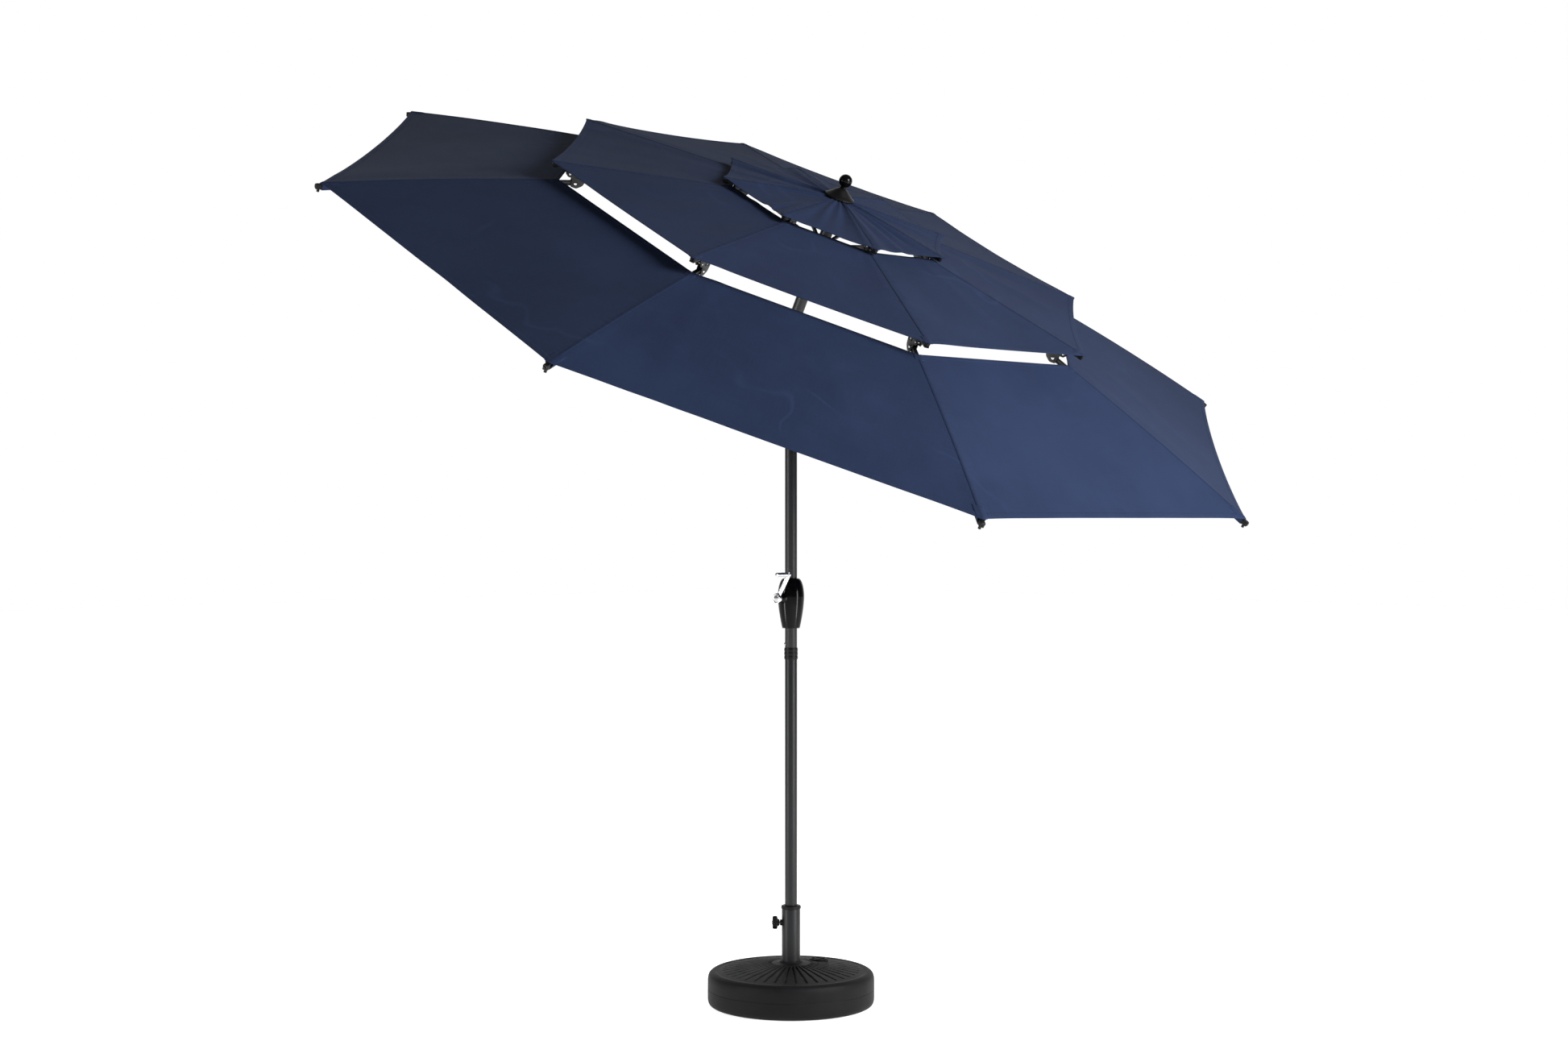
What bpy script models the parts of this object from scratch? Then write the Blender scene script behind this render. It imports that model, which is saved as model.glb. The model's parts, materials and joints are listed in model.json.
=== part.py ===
"""Three-tier tilting patio umbrella with a fillable base, as separate named pieces.

The origin is the centre of the base on the ground, +Z up. The canopy is modelled open and tilted towards
-Y; the tilt axis and the crank axis run along X. Canopy pieces are drawn in the upright canopy's own
radial planes and are placed by the empty "canopy_pivot", which carries the tilt.
"""

import math

import bmesh
import bpy
from mathutils import Matrix, Vector

GAP = 0.0005  # clearance between pieces that would touch

# Base
TANK_RADIUS = 0.261
TANK_RIM_HEIGHT = 0.108
TANK_WALL = 0.004
TANK_CROWN_HEIGHT = 0.133
SLEEVE_RADIUS = 0.0288
SLEEVE_WALL = 0.002
SLEEVE_BOTTOM = 0.012
SLEEVE_TOP = 0.301
COLLAR_HEIGHT = 0.010
COLLAR_LIP = 0.002
FILL_HOLE_RADIUS = 0.021
FILL_HOLE_PLACE = 0.112  # from the pole's axis
FILL_HOLE_AZIMUTH = math.radians(-5)
CAP_RADIUS = 0.027
KNOB_HEIGHT = 0.257
KNOB_RADIUS = 0.0205
KNOB_THICKNESS = 0.022
KNOB_PLACE = SLEEVE_RADIUS + 0.0182  # knob's middle from the pole's axis
KNOB_AZIMUTH = math.radians(135)
KNOB_LOBES = 6
KNOB_SCREW_RADIUS = 0.004

# Pole
POLE_RADIUS = 0.019
POLE_WALL = 0.0014
POLE_BOTTOM = 0.018
POLE_JOIN_HEIGHT = 1.119
SPIGOT_LENGTH = 0.10
FERRULE_HEIGHT = 0.036
FERRULE_WALL = 0.0018
SNAP_HEIGHT = POLE_JOIN_HEIGHT + 0.012
SNAP_RADIUS = 0.0045
SNAP_STANDS = 0.0035  # how far the button stands out of the pole
SNAP_AZIMUTH = math.radians(150)
FOOT_PLUG_FLANGE = 0.004

# Crank
CRANK_HEIGHT = 1.275
HOUSING_BOTTOM = 1.181
HOUSING_TOP = 1.337
HOUSING_RADIUS = 0.0415
HOUSING_WALL = 0.0025
SPOOL_HALF = 0.0125
SPOOL_CLEARANCE = 0.0002
SPOOL_RADIUS = math.sqrt((POLE_RADIUS - POLE_WALL - SPOOL_CLEARANCE) ** 2 - SPOOL_HALF ** 2)
CRANK_SHAFT_RADIUS = 0.005
CRANK_ARM_PLACE = 0.056  # inner face of the crank arm from the pole's axis
CRANK_HUB_RADIUS = 0.0165
CRANK_ARM_LENGTH = 0.090
CRANK_ARM_WIDTH = 0.016
CRANK_ARM_THICKNESS = 0.006
CRANK_LEAN = math.radians(33)  # from straight up, towards -Y
GRIP_LENGTH = 0.050
GRIP_RADIUS = 0.0068
GRIP_PIN_RADIUS = 0.0030

# Tilt joint
TILT_HEIGHT = 2.120
TILT = math.radians(28.5)
KNUCKLE_RADIUS = 0.0215
KNUCKLE_CUP_BOTTOM = 0.060  # below the tilt axis
KNUCKLE_CUP_TOP = 0.022  # below the tilt axis
POLE_TO_AXIS = 0.027  # from each pole's end to the tilt axis
TONGUE_HALF = 0.0070
CHEEK_INNER = 0.0076
CHEEK_OUTER = 0.0163
CHEEK_RADIUS = 0.0160
TONGUE_RADIUS = 0.0150
UPPER_CUP_START = 0.020
UPPER_CUP_END = 0.060
TILT_PIN_RADIUS = 0.0050
TILT_BUTTON_DEPTH = 0.0065  # from the cheek's outer face to the end of the tilt pin
TILT_BUTTON_ROOM = 0.0048  # from the button to the end of the tilt pin
TILT_BUTTON_STANDS = 0.0045

# Canopy frame: r is the distance from the canopy's axis, depth is measured down from its crown
CROWN = 0.4425  # above the tilt axis
RIBS = 8
FIRST_RIB = math.radians(-67.5)
PIN_R = 0.042
HUB_PIN_DEPTH = 0.0145
HUB_PIN_RADIUS = 0.0024
HUB_RADIUS = 0.050
HUB_TOP_DEPTH = 0.0060
HUB_BOTTOM_DEPTH = 0.036
SLOT_HALF = 0.0066
STRUT_PIN = (0.332, 0.0835)  # r and depth
STRUT_HALF_WIDTH = 0.0048
STRUT_HALF_HEIGHT = 0.0045
STRUT_END_RADIUS = 0.0060
STRUT_PIN_RADIUS = 0.0026
RUNNER_BORE = 0.0315
RUNNER_ABOVE = 0.014  # from the strut pins to the runner's top
RUNNER_BELOW = 0.022
TOP_POLE_END_DEPTH = 0.012
PULLEY_DEPTH = 0.056
PULLEY_RADIUS = 0.0120
PULLEY_HALF = 0.0045
PULLEY_AXLE = 0.0020

CLOTH = 0.0010
CLOTH_TO_ARM = 0.0030  # from the cloth's upper face to the top of the arm under it
CLOTH_SAG = 0.006
TOP_CLOTH = ((0.009, 0.0008), (0.383, 0.031))  # (r, depth) of the inner and outer edge along a rib
MIDDLE_CLOTH = ((0.345, 0.0535), (0.906, 0.117))
OUTER_CLOTH = ((0.868, 0.1671), (1.534, 0.350))
TOP_SCALLOP, MIDDLE_SCALLOP, OUTER_SCALLOP = 0.012, 0.014, 0.018
OUTER_BOW = 0.006  # how far the outer arms bow upwards at mid length

ARM_HALF_WIDTH = 0.0060
MIDDLE_ARM_HALF_WIDTH = 0.0070
ARM_HEIGHT = 0.014
SLOT_FROM = PIN_R - ARM_HEIGHT / 2 - 0.0002  # inner end of the slots for the arms' eyes
ARM_WALL = 0.0008
PLATE_INNER = 0.0065
PLATE_OUTER = 0.0090
RIVET_RADIUS = 0.0026
UPPER_RIVET = (0.312, 0.0360)  # r and depth
LOWER_RIVET = (0.818, 0.1640)
MIDDLE_ARM_ENDS = (0.300, 0.900)  # r of its ends
OUTER_ARM_START = 0.797
TOP_ARM_ENDS = (0.046, 0.378)
TIP_OVERHANG = 0.012  # arm beyond the cloth's corner

BALL_RADIUS = 0.0205
BALL_HEIGHT = 0.055
FINIAL_CAP_RADIUS = 0.048
FINIAL_STEM_RADIUS = 0.0040


# ---------------------------------------------------------------- helpers

def clear_scene():
    for obj in list(bpy.data.objects):
        bpy.data.objects.remove(obj, do_unlink=True)


def material(name, color, roughness, metallic=0.0):
    made = bpy.data.materials.new(name)
    made.use_nodes = True
    shader = made.node_tree.nodes["Principled BSDF"]
    shader.inputs["Base Color"].default_value = (*color, 1)
    shader.inputs["Roughness"].default_value = roughness
    shader.inputs["Metallic"].default_value = metallic
    return made


def mesh_of(points, faces):
    mesh = bpy.data.meshes.new("shape")
    mesh.from_pydata([tuple(p) for p in points], [], faces)
    work = bmesh.new()
    work.from_mesh(mesh)
    bmesh.ops.recalc_face_normals(work, faces=work.faces)
    work.to_mesh(mesh)
    work.free()
    return mesh


def turned(profile, segments=24):
    """A closed outline of (r, z) points turned about Z; points with r = 0 become poles."""
    points, rings = [], []
    for r, z in profile:
        if r == 0:
            rings.append([len(points)] * segments)
            points.append((0, 0, z))
            continue
        rings.append([len(points) + i for i in range(segments)])
        for i in range(segments):
            a = 2 * math.pi * i / segments
            points.append((r * math.cos(a), r * math.sin(a), z))
    faces = []
    for ring, after in zip(rings, rings[1:] + rings[:1]):
        for i in range(segments):
            j = (i + 1) % segments
            corners = list(dict.fromkeys((ring[i], ring[j], after[j], after[i])))
            if len(corners) > 2:
                faces.append(corners)
    return mesh_of(points, faces)


def tube(outer, inner, low, high, segments=24):
    return turned([(outer, low), (outer, high), (inner, high), (inner, low)], segments)


def rod(radius, low, high, segments=16):
    return turned([(0, low), (radius, low), (radius, high), (0, high)], segments)


def plate(outline, low, high):
    """An outline of (x, z) points extruded along Y from low to high."""
    count = len(outline)
    points = [(x, low, z) for x, z in outline] + [(x, high, z) for x, z in outline]
    faces = [list(range(count)), list(range(count, 2 * count))]
    for i in range(count):
        j = (i + 1) % count
        faces.append([i, j, count + j, count + i])
    return mesh_of(points, faces)


def block(low, high):
    return plate([(low[0], low[2]), (high[0], low[2]), (high[0], high[2]), (low[0], high[2])],
                 low[1], high[1])


def hollow_beam(path, half_width, height, wall):
    """A rectangular tube under a path of (x, z) points that gives its upper edge; both ends are open."""
    points, faces = [], []
    for x, z in path:
        for inset in (0, wall):
            points += [
                (x, -half_width + inset, z - inset), (x, half_width - inset, z - inset),
                (x, half_width - inset, z - height + inset), (x, -half_width + inset, z - height + inset),
            ]
    for start in range(0, 8 * (len(path) - 1), 8):
        for shell in (0, 4):
            for i in range(4):
                a, b = start + shell + i, start + shell + (i + 1) % 4
                faces.append([a, b, b + 8, a + 8])
    for end in (0, 8 * (len(path) - 1)):
        for i in range(4):
            j = (i + 1) % 4
            faces.append([end + i, end + j, end + 4 + j, end + 4 + i])
    return mesh_of(points, faces)


def moved(mesh, matrix):
    mesh.transform(matrix)
    if matrix.determinant() < 0:
        mesh.flip_normals()
    return mesh


def along_x(mesh):
    """Turns a shape made about Z so that its axis is X, +Z becoming +X."""
    return moved(mesh, Matrix.Rotation(math.pi / 2, 4, "Y"))


def along_y(mesh):
    """Turns a shape made about Z so that its axis is Y, +Z becoming +Y."""
    return moved(mesh, Matrix.Rotation(-math.pi / 2, 4, "X"))


def shifted(mesh, x=0.0, y=0.0, z=0.0):
    return moved(mesh, Matrix.Translation((x, y, z)))


def around_z(mesh, angle):
    return moved(mesh, Matrix.Rotation(angle, 4, "Z"))


def combined(start, add=(), cut=()):
    """The start shape with others joined to it and cut from it, as one mesh."""
    body = bpy.data.objects.new("work", start)
    bpy.context.scene.collection.objects.link(body)
    helpers = []
    for meshes, operation in ((add, "UNION"), (cut, "DIFFERENCE")):
        for mesh in meshes:
            helper = bpy.data.objects.new("helper", mesh)
            bpy.context.scene.collection.objects.link(helper)
            helpers.append(helper)
            modifier = body.modifiers.new(operation.lower(), "BOOLEAN")
            modifier.operation = operation
            modifier.object = helper
            modifier.solver = "EXACT"
    bpy.context.view_layer.update()
    graph = bpy.context.evaluated_depsgraph_get()
    result = bpy.data.meshes.new_from_object(body.evaluated_get(graph))
    for obj in (body, *helpers):
        bpy.data.objects.remove(obj, do_unlink=True)
    return result


def empty(name, place=(0, 0, 0), turn=(0, 0, 0), parent=None):
    made = bpy.data.objects.new(name, None)
    bpy.context.scene.collection.objects.link(made)
    made.location, made.rotation_euler, made.parent = place, turn, parent
    made.empty_display_size = 0.05
    return made


def piece(name, mesh, finish, place=(0, 0, 0), turn=(0, 0, 0), parent=None, smooth=True):
    mesh.name = name
    mesh.materials.clear()
    mesh.materials.append(finish)
    if smooth:
        mesh.shade_smooth()
        mesh.set_sharp_from_angle(angle=math.radians(35))
    made = bpy.data.objects.new(name, mesh)
    bpy.context.scene.collection.objects.link(made)
    made.location, made.rotation_euler, made.parent = place, turn, parent
    return made


def ring_of(mesh, count, first, step):
    """Copies of a shape about Z, as a list of meshes."""
    return [around_z(mesh.copy(), first + i * step) for i in range(count)]


def on_line(line, r):
    """Depth at radius r of the straight line through two (r, depth) points."""
    (r0, d0), (r1, d1) = line
    return d0 + (d1 - d0) * (r - r0) / (r1 - r0)


# ---------------------------------------------------------------- base

def tank_shape():
    bore = SLEEVE_RADIUS + GAP
    floor = 0.006
    outline = [
        (bore, 0), (TANK_RADIUS - 0.016, 0), (TANK_RADIUS - 0.004, 0.005), (TANK_RADIUS, 0.016),
        (TANK_RADIUS, TANK_RIM_HEIGHT - 0.022), (TANK_RADIUS - 0.005, TANK_RIM_HEIGHT - 0.008),
        (TANK_RADIUS - 0.018, TANK_RIM_HEIGHT), (TANK_RADIUS - 0.030, TANK_RIM_HEIGHT - 0.002),
        (0.045, TANK_CROWN_HEIGHT), (bore + 0.006, TANK_CROWN_HEIGHT + 0.003),
        (bore, TANK_CROWN_HEIGHT + 0.003),
    ]
    shell = turned(outline, 40)
    w = TANK_WALL
    hollow = turned([
        (bore + w, floor), (TANK_RADIUS - 0.018, floor), (TANK_RADIUS - w, 0.018),
        (TANK_RADIUS - w, TANK_RIM_HEIGHT - 0.024), (TANK_RADIUS - 0.020, TANK_RIM_HEIGHT - w),
        (TANK_RADIUS - 0.032, TANK_RIM_HEIGHT - 0.003 - w), (0.045, TANK_CROWN_HEIGHT - w - 0.001),
        (bore + w, TANK_CROWN_HEIGHT - w),
    ], 24)
    x, y = FILL_HOLE_PLACE * math.cos(FILL_HOLE_AZIMUTH), FILL_HOLE_PLACE * math.sin(FILL_HOLE_AZIMUTH)
    boss = shifted(tube(CAP_RADIUS + 0.006, FILL_HOLE_RADIUS, TANK_RIM_HEIGHT, fill_rim_height(), 20), x, y)
    hole = shifted(rod(FILL_HOLE_RADIUS, TANK_RIM_HEIGHT - 0.02, fill_rim_height() + 0.01, 20), x, y)
    socket_floor = rod(bore + 0.001, 0, SLEEVE_BOTTOM - GAP, 40)
    return combined(shell, add=[socket_floor, boss], cut=[hollow, hole])


def fill_rim_height():
    slope = (TANK_CROWN_HEIGHT - TANK_RIM_HEIGHT) / (TANK_RADIUS - 0.030 - 0.045)
    return TANK_RIM_HEIGHT + slope * (TANK_RADIUS - 0.030 - FILL_HOLE_PLACE) + 0.008


def ballast_shape():
    c = 0.003
    bore = SLEEVE_RADIUS + GAP + TANK_WALL + c
    outer = TANK_RADIUS - TANK_WALL - c
    return turned([
        (bore, 0.006 + GAP), (outer - 0.016, 0.006 + GAP), (outer, 0.022),
        (outer, TANK_RIM_HEIGHT - 0.030), (bore, TANK_RIM_HEIGHT - 0.030),
    ], 24)


def cap_shape():
    rim = fill_rim_height() + GAP
    lid = turned([
        (0, rim - 0.012), (FILL_HOLE_RADIUS - 0.0012, rim - 0.012), (FILL_HOLE_RADIUS - 0.0012, rim),
        (CAP_RADIUS, rim), (CAP_RADIUS, rim + 0.004), (CAP_RADIUS - 0.003, rim + 0.007), (0, rim + 0.007),
    ], 20)
    groove = block((-CAP_RADIUS * 0.6, -0.0025, rim + 0.004), (CAP_RADIUS * 0.6, 0.0025, rim + 0.012))
    return combined(lid, cut=[groove])


def sleeve_shape():
    wall = tube(SLEEVE_RADIUS, SLEEVE_RADIUS - SLEEVE_WALL, SLEEVE_BOTTOM, SLEEVE_TOP)
    boss = along_x(rod(0.0095, SLEEVE_RADIUS - 0.0012, SLEEVE_RADIUS + 0.006, 16))
    hole = along_x(rod(KNOB_SCREW_RADIUS + GAP, 0.02, SLEEVE_RADIUS + 0.012, 16))
    seat = Matrix.Translation((0, 0, KNOB_HEIGHT)) @ Matrix.Rotation(KNOB_AZIMUTH, 4, "Z")
    return combined(wall, add=[moved(boss, seat)], cut=[moved(hole, seat)])


def collar_shape():
    bore = POLE_RADIUS + 0.0009
    low = SLEEVE_TOP + GAP
    return turned([
        (SLEEVE_RADIUS + COLLAR_LIP, low), (SLEEVE_RADIUS + COLLAR_LIP, low + COLLAR_HEIGHT - 0.003),
        (SLEEVE_RADIUS - 0.001, low + COLLAR_HEIGHT), (bore, low + COLLAR_HEIGHT),
        (bore, low - 0.016), (SLEEVE_RADIUS - SLEEVE_WALL - GAP, low - 0.016),
        (SLEEVE_RADIUS - SLEEVE_WALL - GAP, low),
    ])


def knob_shape():
    """Lobed hand knob and its screw, along +X from the pole's axis."""
    count = KNOB_LOBES * 4
    low, high = KNOB_PLACE - KNOB_THICKNESS / 2, KNOB_PLACE + KNOB_THICKNESS / 2
    sections = ((low, 0.42), (low + 0.006, 0.62), (low + 0.008, 1.0), (high - 0.002, 1.0), (high, 0.86))
    points, faces = [], []
    for x, scale in sections:
        for i in range(count):
            a = 2 * math.pi * i / count
            r = KNOB_RADIUS * scale * (0.90 + 0.10 * math.cos(KNOB_LOBES * a))
            points.append((x, r * math.cos(a), r * math.sin(a)))
    for s in range(len(sections) - 1):
        for i in range(count):
            j = (i + 1) % count
            faces.append([s * count + i, s * count + j, (s + 1) * count + j, (s + 1) * count + i])
    faces += [list(range(count)), list(range((len(sections) - 1) * count, len(sections) * count))]
    screw = along_x(rod(KNOB_SCREW_RADIUS, POLE_RADIUS + 0.0008, low + 0.004, 16))
    return combined(mesh_of(points, faces), add=[screw])


def build_base(plastic, steel, black):
    piece("base_tank", tank_shape(), plastic)
    piece("ballast", ballast_shape(), material("sand", (0.45, 0.38, 0.28), 0.9))
    x, y = FILL_HOLE_PLACE * math.cos(FILL_HOLE_AZIMUTH), FILL_HOLE_PLACE * math.sin(FILL_HOLE_AZIMUTH)
    piece("fill_cap", cap_shape(), black, place=(x, y, 0))
    piece("base_sleeve", sleeve_shape(), steel)
    piece("sleeve_collar", collar_shape(), black)
    piece("clamp_knob", knob_shape(), black, place=(0, 0, KNOB_HEIGHT), turn=(0, 0, KNOB_AZIMUTH))


# ---------------------------------------------------------------- pole and crank

def build_pole(steel, black, bright):
    bore = POLE_RADIUS - POLE_WALL
    foot = turned([
        (0, POLE_BOTTOM - FOOT_PLUG_FLANGE - GAP), (POLE_RADIUS, POLE_BOTTOM - FOOT_PLUG_FLANGE - GAP),
        (POLE_RADIUS, POLE_BOTTOM - GAP), (bore - GAP, POLE_BOTTOM - GAP), (bore - GAP, POLE_BOTTOM + 0.03),
        (0, POLE_BOTTOM + 0.03),
    ], 24)
    piece("pole_foot_plug", foot, black)
    piece("lower_pole", tube(POLE_RADIUS, bore, POLE_BOTTOM, POLE_JOIN_HEIGHT), steel)
    ferrule_inner = POLE_RADIUS + 0.0004
    ferrule = tube(ferrule_inner + FERRULE_WALL, ferrule_inner,
                   POLE_JOIN_HEIGHT - FERRULE_HEIGHT, POLE_JOIN_HEIGHT)
    piece("pole_ferrule", ferrule, black)

    spigot = bore - GAP
    top = TILT_HEIGHT - POLE_TO_AXIS
    middle = turned([
        (spigot, POLE_JOIN_HEIGHT - SPIGOT_LENGTH), (spigot, POLE_JOIN_HEIGHT + GAP),
        (POLE_RADIUS, POLE_JOIN_HEIGHT + GAP), (POLE_RADIUS, top), (bore, top),
        (bore, POLE_JOIN_HEIGHT + 0.004), (spigot - POLE_WALL, POLE_JOIN_HEIGHT),
        (spigot - POLE_WALL, POLE_JOIN_HEIGHT - SPIGOT_LENGTH),
    ])
    shaft_hole = along_x(rod(CRANK_SHAFT_RADIUS + 0.0008, -0.03, 0, 16))
    snap_hole = along_x(rod(SNAP_RADIUS + 0.0005, 0, 0.03, 16))
    cuts = [shifted(shaft_hole, z=CRANK_HEIGHT), shifted(around_z(snap_hole, SNAP_AZIMUTH), z=SNAP_HEIGHT)]
    piece("middle_pole", combined(middle, cut=cuts), steel)

    button = along_x(turned([
        (0, 0.010), (SNAP_RADIUS, 0.010), (SNAP_RADIUS, POLE_RADIUS + SNAP_STANDS - 0.0015),
        (SNAP_RADIUS * 0.6, POLE_RADIUS + SNAP_STANDS), (0, POLE_RADIUS + SNAP_STANDS),
    ], 12))
    piece("snap_button", button, bright, place=(0, 0, SNAP_HEIGHT), turn=(0, 0, SNAP_AZIMUTH))


def housing_outline():
    """Outer outline of the pear-shaped crank housing, from its neck down to its foot."""
    z0, z1, mid = HOUSING_BOTTOM, HOUSING_TOP, CRANK_HEIGHT + 0.004
    neck, foot = POLE_RADIUS + 0.0035, POLE_RADIUS + 0.0085
    outline = []
    for i in range(5):
        t = i / 4 * math.pi / 2
        outline.append((neck + (HOUSING_RADIUS - neck) * math.sin(t), mid + (z1 - mid) * math.cos(t)))
    for i in range(1, 5):
        t = i / 4
        outline.append((foot + (HOUSING_RADIUS - foot) * (0.5 + 0.5 * math.cos(math.pi * t)),
                        mid + (z0 - mid) * t))
    return outline


def housing_shape(side):
    """One half of the crank housing; side is -1 for the crank's half and +1 for the other."""
    outline = housing_outline()
    rim = POLE_RADIUS + 0.0006
    inner = [(max(r - HOUSING_WALL, rim), z) for r, z in outline]
    inner[0] = (rim, inner[0][1])
    shell = turned(outline + inner[::-1], 24)
    away = block((0 if side < 0 else -0.1, -0.1, 0), (0.1 if side < 0 else 0, 0.1, 2))
    cuts = [shifted(away, x=side * 0.00025)]
    if side < 0:
        cuts.append(shifted(along_x(rod(CRANK_SHAFT_RADIUS + 0.0008, -0.06, 0, 16)), z=CRANK_HEIGHT))
    return combined(shell, cut=cuts)


def arm_place():
    across, up = -CRANK_ARM_LENGTH * math.sin(CRANK_LEAN), CRANK_ARM_LENGTH * math.cos(CRANK_LEAN)
    return (-CRANK_ARM_PLACE, across, up)


def build_crank(gloss, chrome, black):
    piece("crank_housing_front", housing_shape(-1), gloss)
    piece("crank_housing_rear", housing_shape(1), gloss)

    face = -CRANK_ARM_PLACE
    reach = CRANK_ARM_THICKNESS + 0.004  # hub boss thickness
    core, flange = SPOOL_RADIUS - 0.003, SPOOL_HALF - 0.002
    shaft = along_x(turned([
        (0, face - reach - 0.003), (0.0075, face - reach - 0.002), (0.0075, face - reach - GAP),
        (CRANK_SHAFT_RADIUS, face - reach - GAP), (CRANK_SHAFT_RADIUS, -SPOOL_HALF),
        (SPOOL_RADIUS, -SPOOL_HALF),
        (SPOOL_RADIUS, -flange), (core, -flange), (core, flange),
        (SPOOL_RADIUS, flange), (SPOOL_RADIUS, SPOOL_HALF), (0, SPOOL_HALF),
    ], 14))
    piece("crank_shaft", shaft, chrome, place=(0, 0, CRANK_HEIGHT))

    _, end_y, end_z = arm_place()
    hub = along_x(tube(CRANK_HUB_RADIUS, CRANK_SHAFT_RADIUS + 0.0004, face - reach, face, 24))
    half = CRANK_ARM_WIDTH / 2
    outside = face - CRANK_ARM_THICKNESS
    start = CRANK_SHAFT_RADIUS + 0.006
    bar = block((outside, -half * 0.9, start), (face - 0.0006, half * 0.9, CRANK_ARM_LENGTH))
    bar = moved(bar, Matrix.Rotation(CRANK_LEAN, 4, "X"))
    round_end = shifted(along_x(rod(half, outside - 0.0006, face - 0.0003, 16)), y=end_y, z=end_z)
    pin = along_x(rod(GRIP_PIN_RADIUS, outside - GRIP_LENGTH + 0.004, face - 0.002, 12))
    arm = combined(hub, add=[bar, round_end, shifted(pin, y=end_y, z=end_z)])
    piece("crank_arm", arm, chrome, place=(0, 0, CRANK_HEIGHT))

    start = outside - 0.0006 - GAP
    far = start - GRIP_LENGTH
    bore = GRIP_PIN_RADIUS + 0.0004
    grip = along_x(turned([
        (0, far), (GRIP_RADIUS * 0.8, far), (GRIP_RADIUS, far + 0.003), (GRIP_RADIUS, start - 0.002),
        (GRIP_RADIUS * 0.85, start), (bore, start), (bore, far + 0.002), (0, far + 0.002),
    ], 14))
    piece("crank_grip", grip, chrome, place=(0, end_y, CRANK_HEIGHT + end_z))


# ---------------------------------------------------------------- tilt joint

def lug_outline(half, foot, head_radius, steps=10):
    """(x, z) outline of an upright lug: straight sides from foot up to a round head about the origin."""
    outline = [(-half, foot), (half, foot)]
    start = math.acos(min(1.0, half / head_radius))
    for i in range(steps + 1):
        a = start + (math.pi - 2 * start) * i / steps
        outline.append((head_radius * math.cos(a), head_radius * math.sin(a)))
    return outline


def cross_plate(outline, low, high):
    """An outline of (y, z) points extruded along X from low to high."""
    return around_z(plate(outline, -high, -low), math.pi / 2)


def lower_knuckle_shape():
    bore = POLE_RADIUS + 0.0004
    cup_top = -KNUCKLE_CUP_TOP
    cup = turned([
        (KNUCKLE_RADIUS, -KNUCKLE_CUP_BOTTOM), (KNUCKLE_RADIUS, cup_top), (0, cup_top),
        (0, -POLE_TO_AXIS + GAP), (bore, -POLE_TO_AXIS + GAP), (bore, -KNUCKLE_CUP_BOTTOM),
    ])
    lug = lug_outline(0.014, cup_top - 0.003, CHEEK_RADIUS)
    cheeks = [cross_plate(lug, CHEEK_INNER, CHEEK_OUTER), cross_plate(lug, -CHEEK_OUTER, -CHEEK_INNER)]
    pin_hole = along_x(rod(TILT_PIN_RADIUS + 0.0004, -0.05, 0.05))
    return combined(cup, add=cheeks, cut=[pin_hole])


def upper_knuckle_shape():
    bore = POLE_RADIUS + 0.0004
    low, high = UPPER_CUP_START, UPPER_CUP_END
    cup = turned([
        (0, low), (KNUCKLE_RADIUS, low), (KNUCKLE_RADIUS, high), (bore, high),
        (bore, POLE_TO_AXIS - GAP), (0, POLE_TO_AXIS - GAP),
    ])
    outline = [(y, -z) for y, z in lug_outline(0.013, -low - 0.003, TONGUE_RADIUS)]
    tongue = cross_plate(outline, -TONGUE_HALF, TONGUE_HALF)
    pin_hole = along_x(rod(TILT_PIN_RADIUS + 0.0004, -0.05, 0.05))
    return combined(cup, add=[tongue], cut=[pin_hole])


def build_tilt_joint(black, bright, pivot):
    piece("tilt_knuckle_lower", lower_knuckle_shape(), black, place=(0, 0, TILT_HEIGHT))
    inner_end = -CHEEK_OUTER + TILT_BUTTON_DEPTH
    pin = along_x(rod(TILT_PIN_RADIUS, inner_end, CHEEK_OUTER + 0.001, 16))
    piece("tilt_pin", pin, bright, place=(0, 0, TILT_HEIGHT))
    button = along_x(turned([
        (0, inner_end - TILT_BUTTON_ROOM), (TILT_PIN_RADIUS - 0.0004, inner_end - TILT_BUTTON_ROOM),
        (TILT_PIN_RADIUS - 0.0004, -CHEEK_OUTER - TILT_BUTTON_STANDS), (0, -CHEEK_OUTER - TILT_BUTTON_STANDS),
    ][::-1], 16))
    piece("tilt_button", button, bright, place=(0, 0, TILT_HEIGHT))
    piece("tilt_knuckle_upper", upper_knuckle_shape(), black, parent=pivot)


# ---------------------------------------------------------------- canopy frame

def slots(low, high):
    """Radial slots through the hub or the runner, one at each rib."""
    slot = block((SLOT_FROM, -SLOT_HALF, low), (0.08, SLOT_HALF, high))
    return ring_of(slot, RIBS, FIRST_RIB, 2 * math.pi / RIBS)


def hub_shape():
    bore = POLE_RADIUS + 0.0004
    top, bottom = CROWN - HUB_TOP_DEPTH, CROWN - HUB_BOTTOM_DEPTH
    roof = CROWN - TOP_POLE_END_DEPTH + GAP
    body = turned([
        (FINIAL_STEM_RADIUS + 0.0004, top), (HUB_RADIUS - 0.012, top), (HUB_RADIUS, top - 0.003),
        (HUB_RADIUS, bottom), (bore, bottom), (bore, roof), (FINIAL_STEM_RADIUS + 0.0004, roof),
    ], 24)
    pin = along_y(rod(HUB_PIN_RADIUS, -SLOT_HALF - 0.002, SLOT_HALF + 0.002, 6))
    pin = shifted(pin, x=PIN_R, z=CROWN - HUB_PIN_DEPTH)
    pins = ring_of(pin, RIBS, FIRST_RIB, 2 * math.pi / RIBS)
    slotted = combined(body, cut=slots(bottom - 0.01, top + 0.01))
    return combined(slotted, add=pins)


def runner_pin_depth():
    return 2 * STRUT_PIN[1] - HUB_PIN_DEPTH


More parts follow.
